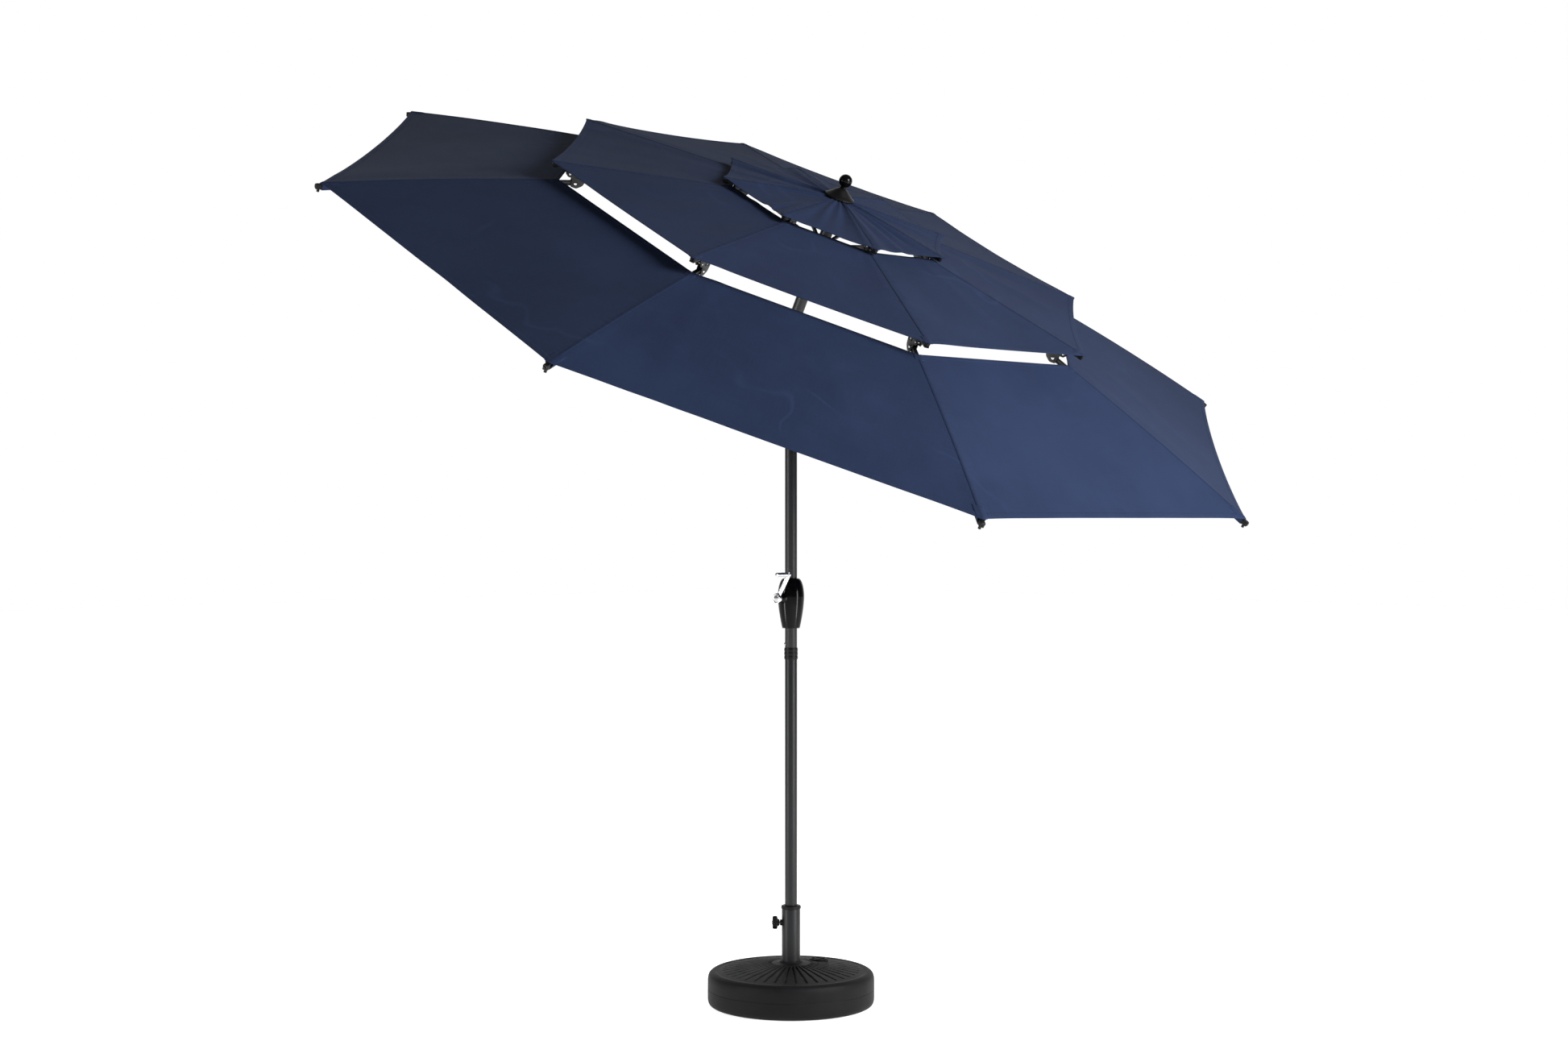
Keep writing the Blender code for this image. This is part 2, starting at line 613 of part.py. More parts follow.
def runner_shape():
    middle = CROWN - runner_pin_depth()
    low, high = middle - RUNNER_BELOW, middle + RUNNER_ABOVE
    body = turned([
        (RUNNER_BORE, low), (HUB_RADIUS - 0.003, low), (HUB_RADIUS, low + 0.003), (HUB_RADIUS, high - 0.003),
        (HUB_RADIUS - 0.003, high), (RUNNER_BORE, high),
    ], 24)
    return combined(body, cut=slots(low - 0.01, high + 0.01))


def finial_shape():
    stem_end = -(TOP_POLE_END_DEPTH - 0.004)
    profile = [
        (0, stem_end), (FINIAL_STEM_RADIUS, stem_end), (FINIAL_STEM_RADIUS, 0.0008),
        (FINIAL_CAP_RADIUS, 0.0008), (FINIAL_CAP_RADIUS, 0.0035),
        (0.034, 0.012), (0.017, 0.026), (0.009, 0.030),
    ]
    neck = math.asin(0.009 / BALL_RADIUS)
    for i in range(7):
        a = neck + (math.pi - neck) * i / 6
        r = BALL_RADIUS * math.sin(a)
        profile.append((r if i < 6 else 0, BALL_HEIGHT - BALL_RADIUS * math.cos(a)))
    return turned(profile, 16)


def build_canopy_head(steel, black, bright, pivot):
    bore = POLE_RADIUS - POLE_WALL
    low, high = POLE_TO_AXIS, CROWN - TOP_POLE_END_DEPTH
    axle_hole = shifted(along_x(rod(PULLEY_AXLE + 0.0004, -0.03, 0.03, 12)), z=CROWN - PULLEY_DEPTH)
    piece("top_pole", combined(tube(POLE_RADIUS, bore, low, high), cut=[axle_hole]), steel, parent=pivot)
    piece("top_hub", hub_shape(), black, parent=pivot)
    piece("finial", shifted(finial_shape(), z=CROWN), black, parent=pivot)
    piece("runner", runner_shape(), black, parent=pivot)
    pulley = along_x(turned([
        (0, -POLE_RADIUS + 0.0005), (PULLEY_AXLE, -POLE_RADIUS + 0.0005), (PULLEY_AXLE, -PULLEY_HALF),
        (PULLEY_RADIUS, -PULLEY_HALF), (PULLEY_RADIUS - 0.003, -0.001), (PULLEY_RADIUS - 0.003, 0.001),
        (PULLEY_RADIUS, PULLEY_HALF), (PULLEY_AXLE, PULLEY_HALF), (PULLEY_AXLE, POLE_RADIUS - 0.0005),
        (0, POLE_RADIUS - 0.0005),
    ], 14))
    piece("cord_pulley", pulley, bright, place=(0, 0, CROWN - PULLEY_DEPTH), parent=pivot)


def local(r, depth):
    """(x, z) in a rib's radial plane, from its hub pin, of a place in the canopy."""
    return (r - PIN_R, HUB_PIN_DEPTH - depth)


def crosswise(radius, half, r, depth, segments=6):
    """A pin or hole across a rib's radial plane."""
    x, z = local(r, depth)
    return shifted(along_y(rod(radius, -half, half, segments)), x=x, z=z)


def under(line, r):
    """Top edge of an arm that lies under a cloth's line, as (x, z)."""
    return local(r, on_line(line, r) + CLOTH_TO_ARM)


def top_arm_shape():
    beam = hollow_beam([under(TOP_CLOTH, r) for r in TOP_ARM_ENDS], ARM_HALF_WIDTH, ARM_HEIGHT, ARM_WALL)
    eye_half = ARM_HALF_WIDTH - 0.0004
    eye = along_y(rod(ARM_HEIGHT / 2, -eye_half, eye_half, 10))
    plug = block((0.001, -eye_half + 0.0004, -0.0060), (0.02, eye_half - 0.0004, 0.0052))
    hole = along_y(rod(HUB_PIN_RADIUS + 0.0006, -0.02, 0.02, 6))
    rivet_hole = crosswise(RIVET_RADIUS + 0.0006, 0.02, *UPPER_RIVET)
    return combined(beam, add=[eye, plug], cut=[hole, rivet_hole])


def bracket_plates(outline):
    points = [local(r, depth) for r, depth in outline]
    return [plate(points, PLATE_INNER, PLATE_OUTER), plate(points, -PLATE_OUTER, -PLATE_INNER)]


def middle_arm_shape():
    beam = hollow_beam([under(MIDDLE_CLOTH, r) for r in MIDDLE_ARM_ENDS],
                       MIDDLE_ARM_HALF_WIDTH, ARM_HEIGHT, ARM_WALL)
    upper = bracket_plates([
        (0.286, 0.0300), (0.337, 0.0345), (0.340, 0.060), (0.350, 0.064), (0.351, 0.084), (0.342, 0.0920),
        (0.326, 0.0925), (0.300, 0.070), (0.286, 0.054),
    ])
    lower = bracket_plates([
        (0.796, 0.1090), (0.850, 0.1165), (0.857, 0.130), (0.848, 0.149), (0.831, 0.150), (0.831, 0.176),
        (0.812, 0.178), (0.796, 0.166), (0.790, 0.148),
    ])
    strut_pin = crosswise(STRUT_PIN_RADIUS, PLATE_OUTER + 0.0015, *STRUT_PIN)
    rivets = [crosswise(RIVET_RADIUS, PLATE_OUTER + 0.0015, *place) for place in (UPPER_RIVET, LOWER_RIVET)]
    return combined(beam, add=[*upper, *lower, strut_pin, *rivets])


def outer_arm_shape():
    low, high = OUTER_ARM_START, OUTER_CLOTH[1][0] + TIP_OVERHANG
    steps = 4
    path = []
    for i in range(steps + 1):
        t = i / steps
        x, z = under(OUTER_CLOTH, low + (high - low) * t)
        path.append((x, z + OUTER_BOW * 4 * t * (1 - t) - 0.0012))
    beam = hollow_beam(path, ARM_HALF_WIDTH, ARM_HEIGHT, ARM_WALL)
    return combined(beam, cut=[crosswise(RIVET_RADIUS + 0.0006, 0.02, *LOWER_RIVET)])


def strut_shape():
    """From the arm's pin at the origin to the runner's pin, in the rib's radial plane."""
    dx, dz = PIN_R - STRUT_PIN[0], STRUT_PIN[1] - runner_pin_depth()
    length = math.hypot(dx, dz)
    h = STRUT_HALF_HEIGHT
    bar = block((0, -STRUT_HALF_WIDTH, -h), (length, STRUT_HALF_WIDTH, h))
    eye_half = STRUT_HALF_WIDTH + 0.0004
    eyes = [shifted(along_y(rod(STRUT_END_RADIUS, -eye_half, eye_half, 10)), x=x) for x in (0, length)]
    holes = [shifted(along_y(rod(STRUT_PIN_RADIUS + 0.0006, -0.02, 0.02, 6)), x=x) for x in (0, length)]
    shape = combined(bar, add=eyes, cut=holes)
    return moved(shape, Matrix.Rotation(-math.atan2(dz, dx), 4, "Y"))


def build_ribs(steel, black, pivot):
    shapes = {"top_arm": top_arm_shape(), "middle_arm": middle_arm_shape(), "outer_arm": outer_arm_shape()}
    strut = strut_shape()
    strut_x, strut_z = local(*STRUT_PIN)
    for i in range(RIBS):
        azimuth = FIRST_RIB + i * 2 * math.pi / RIBS
        pin = (PIN_R * math.cos(azimuth), PIN_R * math.sin(azimuth), CROWN - HUB_PIN_DEPTH)
        rib = empty(f"rib_pin_{i + 1}", pin, (0, 0, azimuth), pivot)
        for name, shape in shapes.items():
            piece(f"{name}_{i + 1}", shape, black if name == "middle_arm" else steel, parent=rib)
        piece(f"strut_{i + 1}", strut, steel, place=(strut_x, 0, strut_z), parent=rib)


# ---------------------------------------------------------------- canopy cloth

def cloth_point(line, scallop, bow, t, angle):
    """A point of a tier's upper face, t from inner to outer edge, at an angle about the axis.

    Between two ribs it follows the straight chord between them, pulled in by the scallop and down by the
    sag, both growing towards the outer edge.
    """
    step = 2 * math.pi / RIBS
    u = (angle / step) % 1.0
    base = (angle // step) * step
    (r0, d0), (r1, d1) = line
    hump = 4 * u * (1 - u)
    r = r0 + (r1 - r0) * t - scallop * hump * t * t
    depth = d0 + (d1 - d0) * t - bow * 4 * t * (1 - t) + CLOTH_SAG * hump * t
    first = Vector((math.cos(base), math.sin(base)))
    second = Vector((math.cos(base + step), math.sin(base + step)))
    flat = (first.lerp(second, u)) * r
    return (flat.x, flat.y, -depth)


def tier_shape(line, scallop, bow, along, per_panel=4):
    around = RIBS * per_panel
    points = []
    for drop in (0, CLOTH):
        for i in range(along + 1):
            for j in range(around):
                x, y, z = cloth_point(line, scallop, bow, i / along, 2 * math.pi * j / around + 1e-9)
                points.append((x, y, z - drop))
    layer = (along + 1) * around
    faces = []
    for i in range(along):
        for j in range(around):
            k = (j + 1) % around
            top = [i * around + j, i * around + k, (i + 1) * around + k, (i + 1) * around + j]
            faces += [top, [layer + n for n in reversed(top)]]
    for i in (0, along):
        for j in range(around):
            k = (j + 1) % around
            a, b = i * around + j, i * around + k
            faces.append([a, b, layer + b, layer + a])
    return around_z(mesh_of(points, faces), FIRST_RIB)


def build_canopy(pivot):
    cloth = material("canopy_cloth", (0.018, 0.030, 0.075), 0.85)
    tiers = (
        ("canopy_top", TOP_CLOTH, TOP_SCALLOP, 0.0, 2),
        ("canopy_middle", MIDDLE_CLOTH, MIDDLE_SCALLOP, 0.0, 2),
        ("canopy_outer", OUTER_CLOTH, OUTER_SCALLOP, OUTER_BOW, 3),
    )
    for name, line, scallop, bow, along in tiers:
        piece(name, shifted(tier_shape(line, scallop, bow, along), z=CROWN), cloth, parent=pivot)


def main():
    clear_scene()
    steel = material("dark_steel", (0.045, 0.045, 0.050), 0.38, 0.7)
    plastic = material("tank_plastic", (0.020, 0.020, 0.022), 0.62)
    black = material("black_plastic", (0.012, 0.012, 0.013), 0.45)
    gloss = material("gloss_plastic", (0.008, 0.008, 0.009), 0.15)
    chrome = material("chrome", (0.80, 0.80, 0.80), 0.12, 1.0)
    bright = material("bright_steel", (0.60, 0.60, 0.60), 0.30, 1.0)
    pivot = empty("canopy_pivot", (0, 0, TILT_HEIGHT), (TILT, 0, 0))
    build_base(plastic, steel, black)
    build_pole(steel, black, bright)
    build_crank(gloss, chrome, black)
    build_tilt_joint(black, bright, pivot)
    build_canopy_head(steel, black, bright, pivot)
    build_ribs(steel, black, pivot)
    build_canopy(pivot)


main()
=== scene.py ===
"""Finish of a three-tier tilting patio umbrella on a fillable base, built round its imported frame.

Canopy pieces are worked out in the frame of one rib: x runs out from the canopy's axis, y along the hem
and z up that axis from the tilt joint. `on_rib` carries them to their rib. Lengths are in metres.
"""

import json
import math
from collections import namedtuple

import bmesh
import bpy
import numpy as np
from bpy.props import FloatProperty, FloatVectorProperty, IntProperty, PointerProperty
from mathutils import Matrix


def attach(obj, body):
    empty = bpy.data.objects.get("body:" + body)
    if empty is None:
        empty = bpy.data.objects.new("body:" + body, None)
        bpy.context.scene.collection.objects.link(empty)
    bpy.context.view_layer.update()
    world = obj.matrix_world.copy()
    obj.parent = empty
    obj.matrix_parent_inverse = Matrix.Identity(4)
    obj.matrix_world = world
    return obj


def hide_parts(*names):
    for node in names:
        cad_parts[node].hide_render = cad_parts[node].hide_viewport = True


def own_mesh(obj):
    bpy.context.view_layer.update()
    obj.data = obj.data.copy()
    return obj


bl_info = {
    "name": "Patio Umbrella with Base",
    "version": (1, 0, 0),
    "blender": (4, 5, 0),
    "location": "3D View > Sidebar > Umbrella",
    "description": "Cloth, steel, plastic and stage of a three-tier tilting patio umbrella",
    "category": "Add Mesh",
}

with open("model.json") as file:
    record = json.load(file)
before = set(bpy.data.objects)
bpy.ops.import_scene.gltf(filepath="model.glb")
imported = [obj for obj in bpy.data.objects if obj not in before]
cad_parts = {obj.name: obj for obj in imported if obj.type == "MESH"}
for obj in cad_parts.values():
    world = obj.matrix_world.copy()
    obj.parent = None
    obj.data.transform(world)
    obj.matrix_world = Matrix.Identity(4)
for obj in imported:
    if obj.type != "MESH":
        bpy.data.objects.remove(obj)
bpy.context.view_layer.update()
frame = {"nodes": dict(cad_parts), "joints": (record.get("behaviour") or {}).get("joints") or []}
JOINTS = {joint["name"]: joint for joint in frame["joints"]}

# ---------------------------------------------------------------- sizes

PIVOT = np.array(JOINTS["canopy_tilt"]["pos_m"])
CANOPY_UP = -np.array(JOINTS["runner_slide"]["axis"])
RIBS = 8
PANEL = 2 * math.pi / RIBS
FIRST_RIB = math.radians(-67.5)
CROWN = 0.4425
PIN_R = 0.042
HUB_PIN_DEPTH = 0.0145
STRUT_PIN = (0.332, 0.0835)
RUNNER_PIN_DEPTH = 2 * STRUT_PIN[1] - HUB_PIN_DEPTH
UPPER_RIVET = (0.312, 0.0360)
LOWER_RIVET = (0.818, 0.1640)
CLOTH = 0.0010
SAG = 0.006
ARM_BELOW_CLOTH = 0.0030
ARM_HEIGHT = 0.014
ARM_HALF = 0.0060
MIDDLE_HALF = ARM_HALF + 0.0010
TOP_ARM, MIDDLE_ARM, OUTER_ARM_START = (0.0465, 0.378), (0.300, 0.900), 0.797
OUTER_ARM_DROP = 0.0012
PLATE = (0.0065, 0.0090)
RIVET_REACH = 0.0092
TIP_OVERHANG = 0.012

Tier = namedtuple("Tier", "name inner outer scallop bow slack across along")
TIERS = {
    "top": Tier("top", (0.009, 0.0008), (0.383, 0.031), 0.012, 0.0, 0.0060, 15, 36),
    "middle": Tier("middle", (0.345, 0.0535), (0.906, 0.117), 0.014, 0.0, 0.0022, 28, 44),
    "outer": Tier("outer", (0.868, 0.1671), (1.534, 0.350), 0.018, 0.006, 0.0020, 44, 60),
}

POLE = 0.019
POLE_WALL = 0.0014
SLEEVE = 0.0288
TANK = 0.261
POLE_FOOT, POLE_JOIN, POLE_TOP = 0.018, 1.119, 2.093
SPIGOT_FOOT, SPIGOT_SHOULDER, BORE_STEP = 1.019, 1.1195, 1.123
FERRULE_FOOT = 1.083
SNAP_HEIGHT, SNAP_AZIMUTH = 1.131, math.radians(150)
KNOB_HEIGHT, KNOB_AZIMUTH = 0.257, math.radians(135)
FILL_RADIUS, FILL_AZIMUTH = 0.112, math.radians(-5)
FILL_PLACE = np.array([FILL_RADIUS * math.cos(FILL_AZIMUTH), FILL_RADIUS * math.sin(FILL_AZIMUTH), 0.0])


# ---------------------------------------------------------------- what a user would change

class CanopySizes(bpy.types.PropertyGroup):
    """Sizes of the canopy's sewing, and its colours"""

    hem: FloatProperty(name="Hem", description="Width of the turned hem", default=0.020, unit="LENGTH")
    seam: FloatProperty(name="Seam", description="Width of the felled seam over a rib", default=0.011,
                        unit="LENGTH")
    stitch: FloatProperty(name="Stitch", description="Length of one stitch", default=0.0032,
                          unit="LENGTH")
    yarn: FloatProperty(name="Yarn", description="Pitch of the weave", default=0.0008, unit="LENGTH")
    cloth_color: FloatVectorProperty(
        name="Cloth", description="Colour of the dyed cloth", default=(0.0130, 0.0215, 0.0520),
        subtype="COLOR")
    thread_color: FloatVectorProperty(
        name="Thread", description="Colour of the sewing thread", default=(0.020, 0.030, 0.066),
        subtype="COLOR")


class MetalSizes(bpy.types.PropertyGroup):
    """Colours of the coated steel and the plastics, and the pole's fineness"""

    steel_color: FloatVectorProperty(
        name="Coated steel", description="Colour of the powder coat", default=(0.0050, 0.0054, 0.0064),
        subtype="COLOR")
    plastic_color: FloatVectorProperty(
        name="Plastic", description="Colour of the moulded plastic", default=(0.0030, 0.0030, 0.0034),
        subtype="COLOR")
    segments: IntProperty(name="Segments", description="Sides of a round piece", default=72, min=24,
                          max=160)


class BaseSizes(bpy.types.PropertyGroup):
    """Sizes of the mouldings on the base's top, and its colour"""

    grooves: IntProperty(name="Grooves", description="Radial grooves on the base's top", default=40,
                         min=8, max=80)
    groove_depth: FloatProperty(name="Groove depth", description="Depth of a groove", default=0.0050,
                                unit="LENGTH")
    groove_width: FloatProperty(name="Groove width", description="Width of a groove", default=0.0070,
                                unit="LENGTH")
    tank_color: FloatVectorProperty(
        name="Tank", description="Colour of the pebbled plastic", default=(0.0050, 0.0051, 0.0056),
        subtype="COLOR")


class StageSizes(bpy.types.PropertyGroup):
    """Light and floor round the umbrella"""

    sky: FloatProperty(name="Sky", description="Brightness of the white wall", default=1.0, min=0)
    key: FloatProperty(name="Key light", description="Power of the large light", default=350, min=0,
                       unit="POWER")
    strip: FloatProperty(name="Strip lights", description="Power of a tall side light", default=80, min=0,
                         unit="POWER")


# ---------------------------------------------------------------- surfaces

def unit(vector):
    return np.asarray(vector, float) / np.linalg.norm(vector)


def quads_of(rows, columns, wrap_rows=False, wrap_columns=False):
    """Faces of a grid of rows x columns points, joined end to end where it wraps."""
    i = np.arange(rows if wrap_rows else rows - 1)[:, None]
    j = np.arange(columns if wrap_columns else columns - 1)[None, :]
    below, beside = (i + 1) % rows, (j + 1) % columns
    corners = (i * columns + j, i * columns + beside, below * columns + beside, below * columns + j)
    return np.stack(corners, -1).reshape(-1, 4)


def joined(*shapes):
    """Several (points, faces) shapes as one."""
    starts = np.cumsum([0] + [len(points) for points, _ in shapes[:-1]])
    faces = [np.where(faces >= 0, faces + start, -1) for (_, faces), start in zip(shapes, starts)]
    return np.concatenate([points for points, _ in shapes]), np.concatenate(faces)


def slab(top, bottom):
    """A closed plate between two grids of points: both faces and the strip of quads round their edge."""
    rows, columns = top.shape[:2]
    count = rows * columns
    face = quads_of(rows, columns)
    index = np.arange(count).reshape(rows, columns)
    edge = np.concatenate([index[0, :-1], index[:-1, -1], index[-1, :0:-1], index[:0:-1, 0]])
    after = np.roll(edge, -1)
    rim = np.stack([edge, after, after + count, edge + count], -1)
    return np.concatenate([top.reshape(-1, 3),
                           bottom.reshape(-1, 3)]), np.concatenate([face, face[:, ::-1] + count, rim])


def rounded(outline, radius, closed=True, steps=5):
    """An outline whose corners are quadratic curves that begin and end `radius` from each corner."""
    corner = np.asarray(outline, float)
    radius = np.array(np.broadcast_to(radius, len(corner)), float)[:, None]
    if not closed:
        radius[[0, -1]] = 0
    ends = []
    for other in (np.roll(corner, 1, 0), np.roll(corner, -1, 0)):
        away = other - corner
        length = np.maximum(np.linalg.norm(away, axis=1, keepdims=True), 1e-9)
        ends.append((corner + away * np.minimum(radius / length, 0.48))[:, None])
    t = np.linspace(0, 1, steps)[None, :, None]
    curve = (1 - t) ** 2 * ends[0] + 2 * t * (1 - t) * corner[:, None] + t ** 2 * ends[1]
    return curve.reshape(-1, corner.shape[1])


def turned(profile, segments=None, closed=False):
    """A profile of (r, z) points turned about Z: x = r cos a, y = r sin a."""
    segments = segments or bpy.context.scene.umbrella_metal.segments
    profile = np.asarray(profile, float)
    a = np.linspace(0, 2 * math.pi, segments, endpoint=False)
    r, z = profile[:, :1], profile[:, 1:]
    points = np.stack([r * np.cos(a), r * np.sin(a), z + 0 * a], -1).reshape(-1, 3)
    return points, quads_of(len(profile), segments, closed, True)


def tube(outer, inner, low, high, edge=0.0006, segments=None):
    """A round tube about Z with eased edges."""
    outline = rounded([(outer, low), (outer, high), (inner, high), (inner, low)],
                      min(edge, (outer - inner) / 3), steps=4)
    return turned(outline, segments, closed=True)


def rod(radius, low, high, edge=0.0005, segments=24):
    """A solid round bar about Z with eased ends."""
    profile = rounded([(0, low), (radius, low), (radius, high), (0, high)], edge, closed=False, steps=4)
    return turned(profile, segments)


def swept(path, section, scale=1.0):
    """A closed section of (y, z) offsets carried along a path of (x, z) points in the plane y = 0.

    Each ring stands square to the path's direction there; fans of quads to its middle close the ends.
    """
    path, section = np.asarray(path, float), np.asarray(section, float)
    scale = np.broadcast_to(scale, len(path))[:, None]
    along = np.gradient(path, axis=0)
    along /= np.linalg.norm(along, axis=1, keepdims=True)
    up = np.stack([-along[:, 1], along[:, 0]], -1)
    ring = np.zeros((len(path), len(section), 3))
    ring[..., 0] = path[:, :1] + up[:, :1] * section[:, 1] * scale
    ring[..., 1] = section[:, 0] * scale
    ring[..., 2] = path[:, 1:] + up[:, 1:] * section[:, 1] * scale
    first, last = ring[:1].mean(1, keepdims=True), ring[-1:].mean(1, keepdims=True)
    ring = np.concatenate([np.repeat(first, len(section), 1), ring, np.repeat(last, len(section), 1)])
    return ring.reshape(-1, 3), quads_of(len(ring), len(section), False, True)


def box_section(half, low, high, radius=0.0016):
    """Rounded rectangle of (y, z) offsets."""
    return rounded([(-half, low), (half, low), (half, high), (-half, high)], radius, steps=4)


def laid(shape, place, up, across=(1, 0, 0)):
    """The shape with its own +Z along `up` and +X nearest to `across`, moved to `place`."""
    up = unit(up)
    across = np.asarray(across, float)
    across = unit(across - (across @ up) * up)
    points, faces = shape
    return points @ np.array([across, np.cross(up, across), up]) + place, faces


def moved(shape, offset):
    return shape[0] + offset, shape[1]


def cut_plate(outline, holes, low, high, bevel=0.0004):
    """A plate in the plane y = 0 with holes, from outlines of (x, z) points, filled as a flat curve."""
    curve = bpy.data.curves.new("plate", "CURVE")
    curve.dimensions, curve.fill_mode = "2D", "BOTH"
    for ring in (outline, *holes):
        spline = curve.splines.new("POLY")
        spline.points.add(len(ring) - 1)
        flat = np.zeros((len(ring), 4))
        flat[:, :2], flat[:, 3] = ring, 1
        spline.points.foreach_set("co", flat.ravel())
        spline.use_cyclic_u = True
    curve.extrude = (high - low) / 2 - bevel
    curve.bevel_depth, curve.bevel_resolution = bevel, 1
    helper = bpy.data.objects.new("plate", curve)
    mesh = bpy.data.meshes.new_from_object(helper)
    points = np.zeros(len(mesh.vertices) * 3)
    mesh.vertices.foreach_get("co", points)
    points = points.reshape(-1, 3)
    faces = np.full((len(mesh.polygons), 4), -1)
    totals = np.zeros(len(mesh.polygons), int)
    mesh.polygons.foreach_get("loop_total", totals)
    corners = np.zeros(len(mesh.loops), int)
    mesh.loops.foreach_get("vertex_index", corners)
    faces[np.arange(4)[None, :] < totals[:, None]] = corners
    bpy.data.objects.remove(helper)
    bpy.data.curves.remove(curve)
    bpy.data.meshes.remove(mesh)
    middle = (low + high) / 2
    return np.stack([points[:, 0], middle - points[:, 2], points[:, 1]], -1), faces


def circle(x, z, radius, count=20):
    a = np.linspace(0, 2 * math.pi, count, endpoint=False)
    return np.stack([x + radius * np.cos(a), z + radius * np.sin(a)], -1)


def slot_hole(x, z, length, radius, angle, count=8):
    """Outline of a long round-ended hole, centred on (x, z)."""
    a = np.concatenate([np.linspace(-math.pi / 2, math.pi / 2, count),
                        np.linspace(math.pi / 2, 1.5 * math.pi, count)])
    shift = np.where(np.arange(2 * count) < count, 1, -1) * length / 2
    px, pz = radius * np.cos(a) + shift, radius * np.sin(a)
    return np.stack([x + px * math.cos(angle) - pz * math.sin(angle),
                     z + px * math.sin(angle) + pz * math.cos(angle)], -1)


# ---------------------------------------------------------------- pieces

def make_piece(name, shape, finish, body, nodes, uv=None, sharp=35):
    """Makes a mesh object of a shape, closes its seams, turns its faces out and rides it on a body."""
    material, slot = finish_of(finish)
    points, faces = shape
    mesh = bpy.data.meshes.new(name)
    mesh.from_pydata(points.tolist(), [], [row[:3] if row[3] < 0 else row for row in faces.tolist()])
    if uv is not None:
        corners = np.zeros(len(mesh.loops), int)
        mesh.loops.foreach_get("vertex_index", corners)
        mesh.uv_layers.new(name="Cut").data.foreach_set("uv", uv[corners].astype(np.float32).ravel())
    work = bmesh.new()
    work.from_mesh(mesh)
    bmesh.ops.remove_doubles(work, verts=work.verts, dist=2e-6)
    bmesh.ops.recalc_face_normals(work, faces=work.faces)
    work.to_mesh(mesh)
    work.free()
    mesh.shade_smooth()
    mesh.set_sharp_from_angle(angle=math.radians(sharp))
    mesh.materials.append(material)
    made = bpy.data.objects.new(name, mesh)
    bpy.context.scene.collection.objects.link(made)
    return settle(made, body, nodes)


def settle(made, body, nodes):
    """Rides a finished piece on its body and hides the CAD nodes that it stands for."""
    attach(made, body)
    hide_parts(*nodes)
    return made


def refined(node, finish, body, bevel):
    """A copy of a CAD node with its triangles merged, its edges eased and its round faces smooth."""
    material, slot = finish_of(finish)
    mesh = frame["nodes"][node].data.copy()
    mesh.name = f"{node}_finished"
    work = bmesh.new()
    work.from_mesh(mesh)
    bmesh.ops.remove_doubles(work, verts=work.verts, dist=1e-5)
    bmesh.ops.dissolve_limit(work, angle_limit=math.radians(1), verts=work.verts, edges=work.edges)
    bmesh.ops.recalc_face_normals(work, faces=work.faces)
    work.to_mesh(mesh)
    work.free()
    mesh.materials.clear()
    mesh.materials.append(material)
    mesh.shade_smooth()
    mesh.set_sharp_from_angle(angle=math.radians(32))
    made = bpy.data.objects.new(mesh.name, mesh)
    bpy.context.scene.collection.objects.link(made)
    ease = made.modifiers.new("Eased edges", "BEVEL")
    ease.width, ease.segments, ease.limit_method, ease.angle_limit = bevel, 2, "ANGLE", math.radians(40)
    return settle(made, body, [node])


def rib_axes(rib):
    """Rows are the rib's own x, y and z in the frame of the whole umbrella."""
    tilt_y = np.cross(CANOPY_UP, (1, 0, 0))
    azimuth = FIRST_RIB + (rib - 1) * PANEL
    out = math.cos(azimuth) * np.array([1.0, 0, 0]) + math.sin(azimuth) * tilt_y
    return np.array([out, np.cross(CANOPY_UP, out), CANOPY_UP])


def on_rib(shape, rib):
    return shape[0] @ rib_axes(rib) + PIVOT, shape[1]


def in_canopy(shape):
    """A shape about the canopy's axis, z up from the tilt joint."""
    return shape[0] @ np.array([[1, 0, 0], np.cross(CANOPY_UP, (1, 0, 0)), CANOPY_UP]) + PIVOT, shape[1]


# ---------------------------------------------------------------- materials

class Value:
    """A number in a material that differs from place to place; sums and products of it add Math nodes."""

    def __init__(self, recipe, socket):
        self.recipe, self.socket = recipe, socket

    def _with(self, operation, *others):
        return self.recipe.node("ShaderNodeMath", {"operation": operation}, dict(enumerate(others)))

    def __add__(self, other):
        return self._with("ADD", self, other)

    def __sub__(self, other):
        return self._with("SUBTRACT", self, other)

    def __rsub__(self, other):
        return self._with("SUBTRACT", other, self)

    def __mul__(self, other):
        return self._with("MULTIPLY", self, other)

    __radd__ = __add__

    def size(self):
        return self._with("ABSOLUTE", self)

    def wave(self):
        return self._with("SINE", self)

    def step(self, low, high):
        """0 below low, 1 above high, smooth between."""
        return self.recipe.node("ShaderNodeMapRange", {"interpolation_type": "SMOOTHSTEP"},
                                {"Value": self, "From Min": low, "From Max": high})


